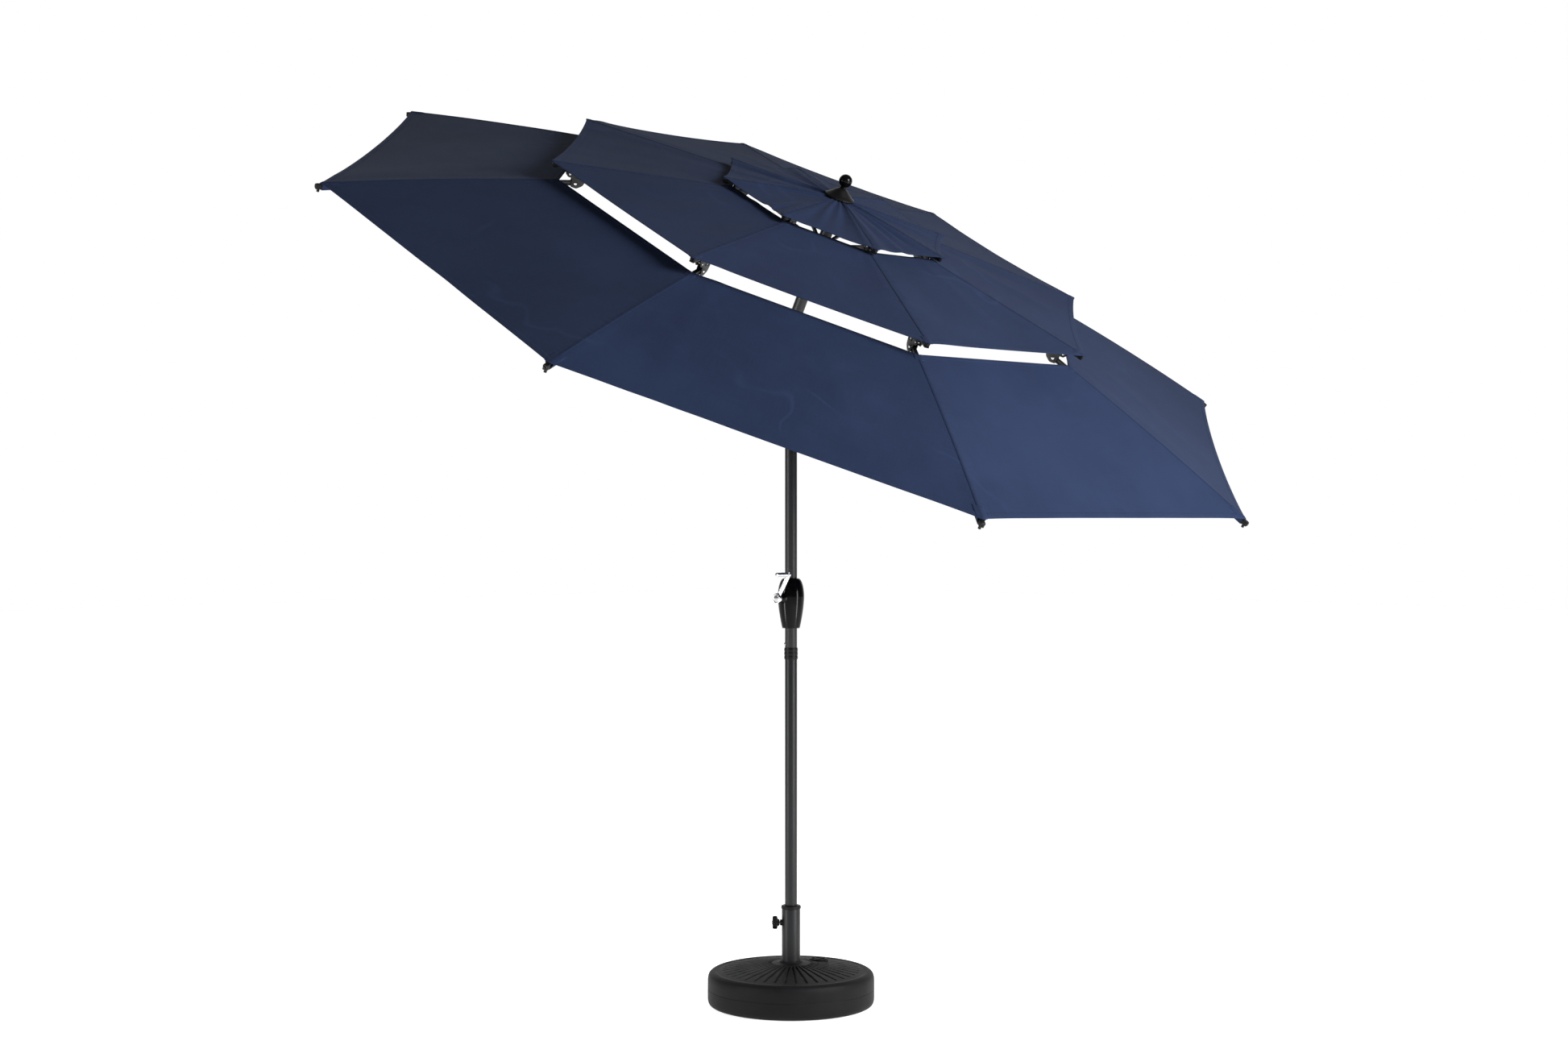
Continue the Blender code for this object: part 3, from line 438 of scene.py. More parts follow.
class Recipe:
    """One material: a Principled shader whose sockets take numbers, colours and Values."""

    def __init__(self, name, **constants):
        self.material = bpy.data.materials.new(name)
        self.material.use_nodes = True
        self.tree = self.material.node_tree
        self.shader = self.tree.nodes["Principled BSDF"]
        for socket, value in constants.items():
            self.put(self.shader.inputs[socket.replace("_", " ")], value)

    def put(self, socket, value):
        if isinstance(value, Value):
            self.tree.links.new(value.socket, socket)
        elif hasattr(value, "__len__") and socket.type == "RGBA":
            socket.default_value = (*value, 1.0)[:4]
        else:
            socket.default_value = value

    def node(self, kind, settings=None, inputs=None, out=0):
        made = self.tree.nodes.new(kind)
        for key, value in (settings or {}).items():
            setattr(made, key, value)
        for key, value in (inputs or {}).items():
            self.put(made.inputs[key], value)
        return Value(self, made.outputs[out])

    def set(self, **values):
        for socket, value in values.items():
            self.put(self.shader.inputs[socket.replace("_", " ")], value)
        return self.material

    def place(self):
        return self.node("ShaderNodeTexCoord", out="Object")

    def noise(self, scale, detail=3.0, roughness=0.5, at=None):
        inputs = {"Vector": at or self.place(), "Scale": scale, "Detail": detail, "Roughness": roughness}
        return self.node("ShaderNodeTexNoise", {"noise_dimensions": "3D"}, inputs)

    def cells(self, scale, at=None):
        return self.node("ShaderNodeTexVoronoi", {"feature": "F1"},
                         {"Vector": at or self.place(), "Scale": scale})

    def stretched(self, x, y, z, at=None):
        return self.node("ShaderNodeVectorMath", {"operation": "MULTIPLY"},
                         {0: at or self.place(), 1: (x, y, z)})

    def blend(self, share, first, second):
        return self.node("ShaderNodeMix", {"data_type": "RGBA"}, {"Factor": share, 6: first, 7: second},
                         out=2)

    def bump(self, height, strength=1.0):
        """Heights in metres."""
        return self.node("ShaderNodeBump", None,
                         {"Height": height, "Distance": 1.0, "Strength": strength})


def shade(color, factor):
    return tuple(channel * factor for channel in color)


def cloth_finish():
    """Dyed polyester: plain weave, slubs along both yarns, mottling, faint creases, puckered seams."""
    look = bpy.context.scene.umbrella_canopy
    mix = Recipe("Canopy cloth", Sheen_Weight=0.02, Sheen_Roughness=0.45, Specular_IOR_Level=0.06)
    cut = mix.node("ShaderNodeUVMap", {"uv_map": "Cut"})
    split = mix.tree.nodes.new("ShaderNodeSeparateXYZ")
    mix.put(split.inputs[0], cut)
    across, along = Value(mix, split.outputs[0]), Value(mix, split.outputs[1])
    half = PANEL / 2
    from_seam = (along * math.sin(half) - across.size() * math.cos(half)).size()
    turn = 2 * math.pi / look.yarn
    weave = (across * turn).wave() * (along * turn).wave()
    slub_along = mix.noise(1.0, 2, at=mix.stretched(900, 14, 1, cut))
    slub_across = mix.noise(1.0, 2, at=mix.stretched(14, 900, 1, cut))
    slubs = slub_along + slub_across
    mottle = mix.noise(2.3, 5, 0.62)
    cloud = mix.noise(9.0, 4, 0.6)
    veins = (mix.noise(1.7, 3, 0.45) - 0.5).size()
    creases = (1 - veins.step(0.0, 0.012)) * mix.noise(3.1, 2).step(0.50, 0.66)
    base = mix.blend(mottle.step(0.30, 0.72), shade(look.cloth_color, 0.88),
                     shade(look.cloth_color, 1.13))
    base = mix.blend(cloud.step(0.52, 0.80) * 0.35, base, shade(look.cloth_color, 1.35))
    base = mix.blend(slubs.step(0.78, 1.25) * 0.30, base, shade(look.cloth_color, 1.45))
    base = mix.blend(creases * 0.28, base, shade(look.cloth_color, 1.9))
    # The cloth is painted darker within about 10 mm of each seam line.
    base = mix.blend((1 - from_seam.step(0.002, 0.010)) * 0.35, base, shade(look.cloth_color, 0.55))
    rows = (1 - from_seam.step(0.004, 0.045)) * mix.noise(1.0, 1, at=mix.stretched(22, 95, 1, cut))
    height = weave * 0.00003 + slubs * 0.00008 + rows * 0.0020 + creases * 0.0004 + mottle * 0.0020
    return mix.set(Base_Color=base, Roughness=0.80 + cloud * 0.12, Normal=mix.bump(height, 0.9))


def thread_finish():
    """Twisted sewing thread: a fine diagonal ply and a slight sheen."""
    look = bpy.context.scene.umbrella_canopy
    mix = Recipe("Sewing thread", Sheen_Weight=0.03, Specular_IOR_Level=0.12)
    ply = mix.node("ShaderNodeTexWave", {"bands_direction": "DIAGONAL"},
                   {"Vector": mix.place(), "Scale": 900.0, "Distortion": 1.5}, out="Fac")
    base = mix.blend(ply, shade(look.thread_color, 0.7), shade(look.thread_color, 1.3))
    return mix.set(Base_Color=base, Roughness=0.45 + ply * 0.2, Normal=mix.bump(ply * 0.0001))


def coat_finish(name="Powder-coated steel", gloss=0.34, lift=1.0):
    """Powder coat on steel: fine orange peel, thin lengthwise rub marks and a few grey nicks."""
    color = shade(bpy.context.scene.umbrella_metal.steel_color, lift)
    mix = Recipe(name, Specular_IOR_Level=0.34)
    peel = mix.noise(900.0, 2)
    tone = mix.noise(14.0, 4, 0.6)
    rubs = mix.noise(1.0, 3, 0.6, at=mix.stretched(420, 420, 9)).step(0.60, 0.72)
    nicks = mix.noise(160.0, 2).step(0.74, 0.78)
    base = mix.blend(tone.step(0.35, 0.7), shade(color, 0.85), shade(color, 1.2))
    base = mix.blend(rubs * 0.2, base, shade(color, 2.0))
    base = mix.blend(nicks * 0.3, base, (0.08, 0.08, 0.085))
    return mix.set(Base_Color=base, Roughness=gloss + tone * 0.10 + rubs * 0.12,
                   Normal=mix.bump(peel * 0.00005 + nicks * 0.0001))


def moulded_finish(name="Moulded plastic", gloss=0.42, grain=0.00005, lift=1.0, shine=0.18):
    """Injection-moulded plastic: fine spark grain, soft flow marks and light scuffs."""
    color = shade(bpy.context.scene.umbrella_metal.plastic_color, lift)
    mix = Recipe(name, Specular_IOR_Level=shine)
    spark = mix.noise(1500.0, 2)
    flow = mix.noise(1.0, 3, at=mix.stretched(40, 40, 12))
    scuffs = mix.noise(1.0, 4, 0.7, at=mix.stretched(60, 300, 300)).step(0.62, 0.74)
    base = mix.blend(flow.step(0.35, 0.7), shade(color, 0.8), shade(color, 1.3))
    base = mix.blend(scuffs * 0.3, base, shade(color, 3.0))
    return mix.set(Base_Color=base, Roughness=gloss + flow * 0.08 + scuffs * 0.15,
                   Normal=mix.bump(spark * grain))


def pebbled_finish():
    """Blow-moulded tank: leathery pebble, lighter patches on the crown, duller patches."""
    color = bpy.context.scene.umbrella_base.tank_color
    mix = Recipe("Pebbled plastic", Specular_IOR_Level=0.12)
    pebble = mix.cells(620.0)
    fine = mix.noise(1100.0, 3)
    patch = mix.noise(11.0, 4, 0.6)
    height_axis = mix.tree.nodes.new("ShaderNodeSeparateXYZ")
    mix.put(height_axis.inputs[0], mix.place())
    # Patches on the crown, above about z = 0.1, are painted lighter and made rougher.
    crown_patches = Value(mix, height_axis.outputs[2]).step(0.095, 0.14) * patch.step(0.35, 0.75)
    scuffs = mix.noise(1.0, 4, 0.7, at=mix.stretched(90, 90, 400)).step(0.63, 0.72)
    base = mix.blend(patch.step(0.3, 0.7), shade(color, 0.85), shade(color, 1.2))
    base = mix.blend(crown_patches * 0.25, base, (0.016, 0.016, 0.017))
    base = mix.blend(scuffs * 0.2, base, (0.022, 0.022, 0.023))
    rough = 0.50 + patch * 0.12 + crown_patches * 0.10
    return mix.set(Base_Color=base, Roughness=rough, Normal=mix.bump(pebble * -0.00022 + fine * 0.00012))


def chrome_finish(name="Chromed steel", color=(0.80, 0.80, 0.80), gloss=0.10):
    """Plated steel: drawn lines under the plate, faint smears and cloudy gloss."""
    mix = Recipe(name, Metallic=1.0)
    drawn = mix.noise(1.0, 2, at=mix.stretched(60, 900, 900))
    smear = mix.noise(70.0, 3, 0.6)
    base = mix.blend(smear.step(0.45, 0.75), color, shade(color, 0.82))
    return mix.set(Base_Color=base, Roughness=gloss + smear * 0.10 + drawn * 0.05,
                   Normal=mix.bump(drawn * 0.00003))


def sand_finish():
    """Packed wet sand: grains of three tones with a rough surface."""
    mix = Recipe("Packed sand")
    grains, damp = mix.cells(900.0), mix.noise(18.0, 3)
    base = mix.blend(grains.step(0.2, 0.7), (0.46, 0.38, 0.27), (0.30, 0.23, 0.15))
    base = mix.blend(damp.step(0.4, 0.7) * 0.5, base, (0.16, 0.12, 0.08))
    return mix.set(Base_Color=base, Roughness=0.85 + damp * 0.1, Normal=mix.bump(grains * 0.0004))


FINISHES = {
    "cloth": ("canopy_cloth", cloth_finish),
    "thread": ("canopy_cloth", thread_finish),
    "steel": ("dark_steel", coat_finish),
    "plate": ("dark_steel", lambda: coat_finish("Blackened plate", 0.38, 0.75)),
    "plastic": ("black_plastic", moulded_finish),
    "gloss": ("gloss_plastic", lambda: moulded_finish("Polished plastic", 0.08, 0.00001, 0.55, 0.13)),
    "pebbled": ("tank_plastic", pebbled_finish),
    "chrome": ("chrome", chrome_finish),
    "bright": ("bright_steel", lambda: chrome_finish("Zinc-plated steel", (0.62, 0.62, 0.63), 0.24)),
    "sand": ("sand", sand_finish),
}
made_finishes = {}


def finish_of(name):
    """The material of a finish, made the first time that it is asked for, and its slot."""
    slot, make = FINISHES[name]
    if name not in made_finishes:
        made_finishes[name] = make()
    return made_finishes[name], slot


# ---------------------------------------------------------------- canopy cloth

def folds(tier, panel, u, t):
    """Height of the loose folds in one panel: ridges that run outwards, each a bell across the panel.

    A ridge's middle moves straight from start to end, its height swells and dies along t as a half sine,
    and all of them fade at the seams, where u is 0 or 1.
    """
    rng = np.random.default_rng(100 * len(tier.name) + panel % RIBS)
    count = 6
    starts = rng.uniform(0.10, 0.90, count)
    ends = np.clip(starts + rng.uniform(-0.25, 0.25, count), 0.05, 0.95)
    starts[:2], ends[:2] = (0.07, 0.93), (0.10, 0.90)
    widths = rng.uniform(0.035, 0.11, count)
    heights = tier.slack * rng.uniform(-0.7, 1.0, count)
    heights[:2] = tier.slack * rng.uniform(0.3, 1.0, 2)
    first = rng.uniform(-0.4, 0.25, count)
    last = rng.uniform(0.85, 1.5, count)
    u, t = np.broadcast_arrays(np.asarray(u, float)[..., None], np.asarray(t, float)[..., None])
    bell = np.exp(-(((u - starts - (ends - starts) * t) / widths) ** 2))
    swell = np.sin(np.pi * np.clip((t - first) / (last - first), 0, 1))
    fade = np.clip(u * (1 - u) * 22, 0, 1)
    return (heights * bell * swell * fade).sum(-1)


def cloth_face(tier, rib, v, t):
    """Place on a tier's upper face in its rib's frame.

    v is the share of a panel to the side of the rib and t runs from the inner edge to the hem. A row is
    the straight chord between two ribs. hump = 4|v|(1-|v|) pulls the hem in and lets the cloth sag; the seam
    itself bows up by 4t(1-t) times the arm's bow.
    """
    v, t = np.broadcast_arrays(np.asarray(v, float), np.asarray(t, float))
    size = np.abs(v)
    (r0, d0), (r1, d1) = tier.inner, tier.outer
    hump = np.clip(4 * size * (1 - size), 0, 1)
    r = r0 + (r1 - r0) * t - tier.scallop * hump ** 0.8 * t ** 2
    depth = d0 + (d1 - d0) * t - tier.bow * 4 * t * (1 - t) + SAG * hump * t
    lift = np.where(v >= 0, folds(tier, rib, v, t), folds(tier, rib - 1, 1 + v, t))
    x = r * (1 - size * (1 - math.cos(PANEL)))
    y = r * size * math.sin(PANEL) * np.sign(v)
    return np.stack([x, y, CROWN - depth + lift], -1)


def cloth_at(tier, rib, v, t, lift=0.0):
    """A place `lift` above the cloth, along its own normal."""
    e = 2e-3
    along = cloth_face(tier, rib, v, t + e) - cloth_face(tier, rib, v, t - e)
    across = cloth_face(tier, rib, v + e, t) - cloth_face(tier, rib, v - e, t)
    normal = np.cross(along, across)
    normal /= np.linalg.norm(normal, axis=-1, keepdims=True)
    return cloth_face(tier, rib, v, t) + normal * np.asarray(lift)[..., None]


def cut_of(points, side):
    """Where a point lies on its panel's flat cut: across from the panel's middle, and out along it."""
    half = PANEL / 2
    x, y = points[..., 0], points[..., 1] * side
    return np.stack([y * math.cos(half) - x * math.sin(half), x * math.cos(half) + y * math.sin(half)],
                    -1)


def cloth_plate(tier, rib, v, t, above, below):
    """A closed plate that hugs the cloth between two heights, with its points' places on the flat cut."""
    v, t, above, below = np.broadcast_arrays(v, t, above, below)
    top, bottom = cloth_at(tier, rib, v, t, above), cloth_at(tier, rib, v, t, below)
    side = np.where(np.arange(v.shape[1]) < v.shape[1] // 2, -1.0, 1.0)
    uv = np.concatenate([cut_of(grid, side).reshape(-1, 2) for grid in (top, bottom)])
    return slab(top, bottom), uv


def length_of(tier):
    (r0, d0), (r1, d1) = tier.inner, tier.outer
    return math.hypot(r1 - r0, d1 - d0)


def both_sides(half):
    """Shares from -1/2 to 1/2 with the seam's own column twice, so that each panel keeps its own cut."""
    side = np.linspace(0, 0.5, half + 1)
    return np.concatenate([-side[::-1], side])


def soft_edge(s):
    """1 over most of a strip and 0 at its two edges, rounded like a folded edge."""
    return np.sqrt(np.clip(1 - np.abs(2 * s - 1) ** 10, 0, 1))


def strip(tier, rib, v, t, above, below, s):
    """A strip sewn round the cloth; it thins to the cloth's own thickness where s is 0 or 1."""
    edge = soft_edge(s)
    return cloth_plate(tier, rib, v, t, above * edge, -CLOTH / 2 + (below + CLOTH / 2) * edge)


def combined(parts):
    shapes, uvs = zip(*parts)
    return joined(*shapes), np.concatenate(uvs)


def stitches(tier, rib, v, t, above, below):
    """Stitches along a line of (v, t) points: each a slim eight-sided grain that shows on both faces.

    The line is measured, grains are set at even steps along it, and each grain's six corners lie on its
    own axes: along the line, across it and through the cloth.
    """
    look = bpy.context.scene.umbrella_canopy
    line = cloth_at(tier, rib, v, t, (above + below) / 2)
    run = np.concatenate([[0], np.cumsum(np.linalg.norm(np.diff(line, axis=0), axis=1))])
    count = max(2, int(run[-1] / (look.stitch * 1.4)))
    at = (np.arange(count) + 0.5) * run[-1] / count
    middle = np.stack([np.interp(at, run, line[:, axis]) for axis in range(3)], -1)
    along = np.stack([np.interp(at + 1e-3, run, line[:, axis]) - np.interp(at - 1e-3, run, line[:, axis])
                      for axis in range(3)], -1)
    along /= np.linalg.norm(along, axis=1, keepdims=True)
    across = np.cross(along, (0, 0, 1))
    across /= np.linalg.norm(across, axis=1, keepdims=True)
    up = np.cross(across, along)
    reach = (look.stitch / 2, 0.00045, (above - below) / 2 + 0.00035)
    corners = np.stack([middle + s * r * axis for axis, r in zip((along, across, up), reach)
                        for s in (1, -1)], 1)
    faces = np.array([[0, 2, 4], [2, 1, 4], [1, 3, 4], [3, 0, 4], [2, 0, 5], [1, 2, 5], [3, 1, 5],
                      [0, 3, 5]])
    every = (faces[None] + 6 * np.arange(count)[:, None, None]).reshape(-1, 3)
    return corners.reshape(-1, 3), np.concatenate([every, np.full((len(every), 1), -1)], 1)


def folding(piece):
    """Gives a piece of cloth a mesh of its own."""
    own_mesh(piece)


def hem_strips(tier, rib):
    """The turned hem at the outer edge and, on the lower tiers, the bound inner edge."""
    hem = bpy.context.scene.umbrella_canopy.hem / length_of(tier)
    v = both_sides(tier.across)[None, :]
    s = np.linspace(0, 1, 9)[:, None]
    parts = [strip(tier, rib, v, 1 - hem + (hem + 0.0012 / length_of(tier)) * s, 0.0009, -CLOTH - 0.0010,
                   s)]
    if tier.name != "top":
        parts.append(strip(tier, rib, v, -0.0012 / length_of(tier) + hem * 0.8 * s, 0.0009,
                           -CLOTH - 0.0010, s))
    return combined(parts)


def share_across(tier, t, width):
    """How far in v a width reaches beside the seam, at t."""
    r = tier.inner[0] + (tier.outer[0] - tier.inner[0]) * np.asarray(t)
    return width / (np.maximum(r, 0.02) * math.sin(PANEL))


def seam_strip(tier, rib):
    """The felled seam over the rib, a little proud of both panels."""
    width = bpy.context.scene.umbrella_canopy.seam
    t = np.linspace(0.012 if tier.name == "top" else 0.0, 1.0, tier.along + 1)[:, None]
    side = np.concatenate([np.linspace(-1, 0, 5), np.linspace(0, 1, 5)])[None, :]
    v = side * share_across(tier, t, width / 2)
    return strip(tier, rib, v, t, 0.0010, -CLOTH - 0.0012, (side + 1) / 2)


def corner_patch(tier, rib, length, width, at_end=True):
    """A doubled square of cloth sewn over a corner, and the pocket below it that holds the arm's end."""
    share = length / length_of(tier)
    s = np.linspace(0, 1, 15)[:, None]
    t = (1 - share + (share + 0.003 / length_of(tier)) * s) if at_end else share * s - 0.002
    side = np.concatenate([np.linspace(-1, 0, 9), np.linspace(0, 1, 9)])[None, :]
    v = side * share_across(tier, t, width / 2)
    edge = soft_edge((side + 1) / 2) * soft_edge(s)
    above = 0.0019 * edge
    parts = [cloth_plate(tier, rib, v, t, above, (-CLOTH - 0.0014) * edge - CLOTH * (1 - edge) / 2)]
    if at_end and tier.name == "outer":
        drop = np.clip((1 - np.abs(side) ** 3) * 1.35, 0, 1) * (ARM_BELOW_CLOTH + ARM_HEIGHT + 0.0015)
        narrow = side * share_across(tier, t, (width / 2) * 0.72)
        parts.append(cloth_plate(tier, rib, narrow, t, -drop - CLOTH, -drop - CLOTH - 0.0011))
    return combined(parts)


def sewing_lines(tier, rib):
    """Two rows of stitches on each hem and two along the seam."""
    look = bpy.context.scene.umbrella_canopy
    length = length_of(tier)
    wide = np.linspace(-0.5, 0.5, 12 * tier.across)
    high = np.linspace(0.03, 0.995, 8 * tier.along)
    above, below = 0.0010, -CLOTH - 0.0011
    rows = [(wide, np.full_like(wide, 1 - inset / length)) for inset in (0.0025, look.hem * 0.82)]
    if tier.name != "top":
        rows += [(wide, np.full_like(wide, inset / length)) for inset in (0.002, look.hem * 0.62)]
    rows += [(side * share_across(tier, high, look.seam * 0.34), high) for side in (-1, 1)]
    return joined(*[stitches(tier, rib, v, t, above, below) for v, t in rows])


def add_cloth(tier, rib):
    """One tier's cloth beside one rib, out to mid panel on both sides, and what is sewn to it."""
    v = both_sides(tier.across)[None, :]
    t = np.linspace(0, 1, tier.along + 1)[:, None]
    shape, uv = cloth_plate(tier, rib, v, t, 0.0, -CLOTH)
    nodes = [f"canopy_{tier.name}"]
    cloth = make_piece(f"{tier.name}_cloth_{rib}", on_rib(shape, rib), "cloth", f"rib_{rib}", nodes, uv,
                       sharp=60)
    parts = [hem_strips(tier, rib), seam_strip(tier, rib)]
    patch = {"top": (0.022, 0.024), "middle": (0.034, 0.028), "outer": (0.048, 0.036)}[tier.name]
    parts.append(corner_patch(tier, rib, *patch))
    if tier.name != "top":
        parts.append(corner_patch(tier, rib, 0.030, 0.034, at_end=False))
    shape, uv = combined(parts)
    hems = make_piece(f"{tier.name}_hems_{rib}", on_rib(shape, rib), "cloth", f"rib_{rib}", nodes, uv,
                      sharp=60)
    sewing = make_piece(f"{tier.name}_stitches_{rib}", on_rib(sewing_lines(tier, rib), rib), "thread",
                        f"rib_{rib}", nodes, sharp=80)
    for piece in (cloth, hems, sewing):
        folding(piece)


class AddCloth(bpy.types.Operator):
    """Three tiers of sewn cloth, a gore beside each rib"""

    bl_idname = "umbrella.cloth"
    bl_label = "Canopy cloth"

    def execute(self, context):
        for tier in TIERS.values():
            for rib in range(1, RIBS + 1):
                add_cloth(tier, rib)
        return {"FINISHED"}


# ---------------------------------------------------------------- ribs

def depth_under(tier, r):
    """Depth of a tier's seam line below the crown, at a distance from the canopy's axis."""
    (r0, d0), (r1, d1) = tier.inner, tier.outer
    return d0 + (d1 - d0) * (r - r0) / (r1 - r0)


def arm_path(tier, start, end, bow=0.0, drop=0.0):
    """Middle line of an arm under a tier's seam; it rises by 4t(1-t) times its bow."""
    r = np.linspace(start, end, 25)
    t = (r - start) / (end - start)
    depth = depth_under(tier, r) + ARM_BELOW_CLOTH + ARM_HEIGHT / 2 + drop - bow * 4 * t * (1 - t)
    return np.stack([r, CROWN - depth], -1)


def beam(path, half):
    """A formed steel section: a box with eased corners and a shallow pressed channel in each side."""
    h = ARM_HEIGHT / 2
    side = [(half, -h), (half, -h * 0.35), (half - 0.0009, -h * 0.2), (half - 0.0009, h * 0.2),
            (half, h * 0.35), (half, h)]
    outline = side + [(-y, z) for y, z in side[::-1]]
    return swept(path, rounded(outline, 0.0007, steps=3))


def end_cap(path, half, proud=0.0009):
    """A plastic cap over the last stretch of an arm, its far end domed as 0.35 + 0.65 sqrt(1 - s^2)."""
    s = np.clip(np.linspace(-2.2, 0.999, 18), 0, 1)
    scale = 0.35 + 0.65 * np.sqrt(1 - s ** 2)
    h = ARM_HEIGHT / 2 + proud
    return swept(path, box_section(half + proud, -h, h, 0.0022), scale=scale)


def line_between(start, end, count=18):
    share = np.linspace(0, 1, count)[:, None]
    return np.asarray(start) * (1 - share) + np.asarray(end) * share


def at_depth(points):
    """(x, z) places from (r, depth) pairs."""
    return np.array([(r, CROWN - depth) for r, depth in points])


def rivet(r, depth, reach, radius=0.0046):
    """A domed head on both outer faces of a bracket, with the shank between them."""
    dome = [(0, -0.0005), (radius, -0.0005), (radius, 0.0004), (radius * 0.85, 0.0013),
            (radius * 0.5, 0.0019), (0, 0.0021)]
    place = np.array([r, 0, CROWN - depth])
    heads = [laid(turned(dome, 20), place + (0, side * reach, 0), (0, side, 0)) for side in (1, -1)]
    return joined(*heads, laid(rod(radius * 0.5, -reach, reach, segments=16), place, (0, 1, 0)))


def bracket(outline, holes):
    """Two riveted side plates with lightening holes, one each side of the arm."""
    ring = rounded(at_depth(outline), 0.0045)
    return joined(*[cut_plate(ring, holes, low, high) for low, high in (PLATE, (-PLATE[1], -PLATE[0]))])


def rib_arms():
    """The three arms of a rib, their caps, and the eye that hangs on the hub's pin."""
    top, middle, outer = TIERS["top"], TIERS["middle"], TIERS["outer"]
    tip = outer.outer[0] + TIP_OVERHANG
    low_path = arm_path(outer, OUTER_ARM_START, tip, outer.bow, OUTER_ARM_DROP)
    eye = laid(tube(ARM_HEIGHT / 2, 0.0030, -ARM_HALF, ARM_HALF, segments=24),
               (PIN_R, 0, CROWN - HUB_PIN_DEPTH), (0, 1, 0))
    start = line_between((PIN_R + 0.0055, CROWN - HUB_PIN_DEPTH),
                         (PIN_R + 0.020, CROWN - HUB_PIN_DEPTH - 0.001))
    bars = {
        "top": joined(beam(arm_path(top, *TOP_ARM), ARM_HALF), eye,
                      swept(start, box_section(ARM_HALF * 0.85, -0.0052, 0.0046))),
        "middle": beam(arm_path(middle, *MIDDLE_ARM), MIDDLE_HALF),
        "outer": beam(low_path, ARM_HALF),
    }
    rim = arm_path(outer, tip - 0.030, tip + 0.0022, 0, OUTER_ARM_DROP)[::-1][:18][::-1]
    caps = joined(
        end_cap(line_between(rim[0], rim[-1]), ARM_HALF),
        end_cap(line_between(*arm_path(top, 0.364, 0.3795)[[0, -1]]), ARM_HALF, 0.0005),
        end_cap(line_between(*arm_path(middle, 0.886, 0.9015)[[0, -1]]), MIDDLE_HALF, 0.0005),
        end_cap(line_between(*arm_path(middle, 0.2985, 0.310)[[-1, 0]]), MIDDLE_HALF, 0.0005),
        laid(rod(0.0042, -0.0030, 0.0040, segments=16),
             (tip - 0.010, 0, rim[-1][1] - ARM_HEIGHT / 2 - 0.0030), (0, 0, 1)))
    return bars, caps


def rib_plates():
    """The black brackets that join the arms: a hooked upper pair at the strut and a lower pair."""
    upper = [(0.286, 0.0300), (0.337, 0.0345), (0.340, 0.060), (0.350, 0.064), (0.351, 0.084),
             (0.342, 0.0920), (0.326, 0.0925), (0.300, 0.070), (0.286, 0.054)]
    lower = [(0.796, 0.1090), (0.850, 0.1165), (0.857, 0.130), (0.848, 0.149), (0.831, 0.150),
             (0.831, 0.176), (0.812, 0.178), (0.796, 0.166), (0.790, 0.148)]
    high = CROWN - 0.0480
    low = CROWN - 0.1450
    return joined(
        bracket(upper,
                [circle(0.298, high, 0.0040), slot_hole(0.322, high - 0.006, 0.010, 0.0022, -0.5)]),
        bracket(lower, [circle(0.804, low, 0.0040), slot_hole(0.820, low + 0.002, 0.006, 0.0020, 1.3)]))


def rib_rivets():
    return joined(rivet(*UPPER_RIVET, RIVET_REACH), rivet(*LOWER_RIVET, RIVET_REACH),
                  rivet(*STRUT_PIN, RIVET_REACH, 0.0052),
                  rivet(0.330, 0.0408, RIVET_REACH, 0.0034), rivet(0.843, 0.1400, RIVET_REACH, 0.0034))


def strut_shape():
    """The strut from the arm's pin to the runner's pin, with a pierced eye at each end."""
    ends = np.array([(STRUT_PIN[0], CROWN - STRUT_PIN[1]), (PIN_R, CROWN - RUNNER_PIN_DEPTH)])
    along = unit(ends[1] - ends[0])
    bar = swept(line_between(ends[0] + along * 0.005, ends[1] - along * 0.005),
                box_section(0.0048, -0.0045, 0.0045, 0.0012))
    eyes = [laid(tube(0.0060, 0.0029, -0.0052, 0.0052, segments=24), (x, 0, z), (0, 1, 0))
            for x, z in ends]
    return joined(bar, *eyes)


class AddRibs(bpy.types.Operator):
    """Arms, brackets, rivets, caps and struts of the eight ribs"""

    bl_idname = "umbrella.ribs"
    bl_label = "Ribs and struts"

    def execute(self, context):
        (bars, caps), plates, rivets, strut = rib_arms(), rib_plates(), rib_rivets(), strut_shape()
        for rib in range(1, RIBS + 1):
            body = f"rib_{rib}"
            for name, shape in bars.items():
                make_piece(f"{name}_bar_{rib}", on_rib(shape, rib), "steel", body, [f"{name}_arm_{rib}"])
            arms = [f"{name}_arm_{rib}" for name in bars]
            make_piece(f"rib_caps_{rib}", on_rib(caps, rib), "plastic", body, arms)
            make_piece(f"rib_plates_{rib}", on_rib(plates, rib), "plate", body, arms[1:2])
            make_piece(f"rib_rivets_{rib}", on_rib(rivets, rib), "bright", body, arms[1:2])
            make_piece(f"strut_bar_{rib}", on_rib(strut, rib), "steel", f"strut_{rib}", [f"strut_{rib}"])
        return {"FINISHED"}


# ---------------------------------------------------------------- head of the canopy

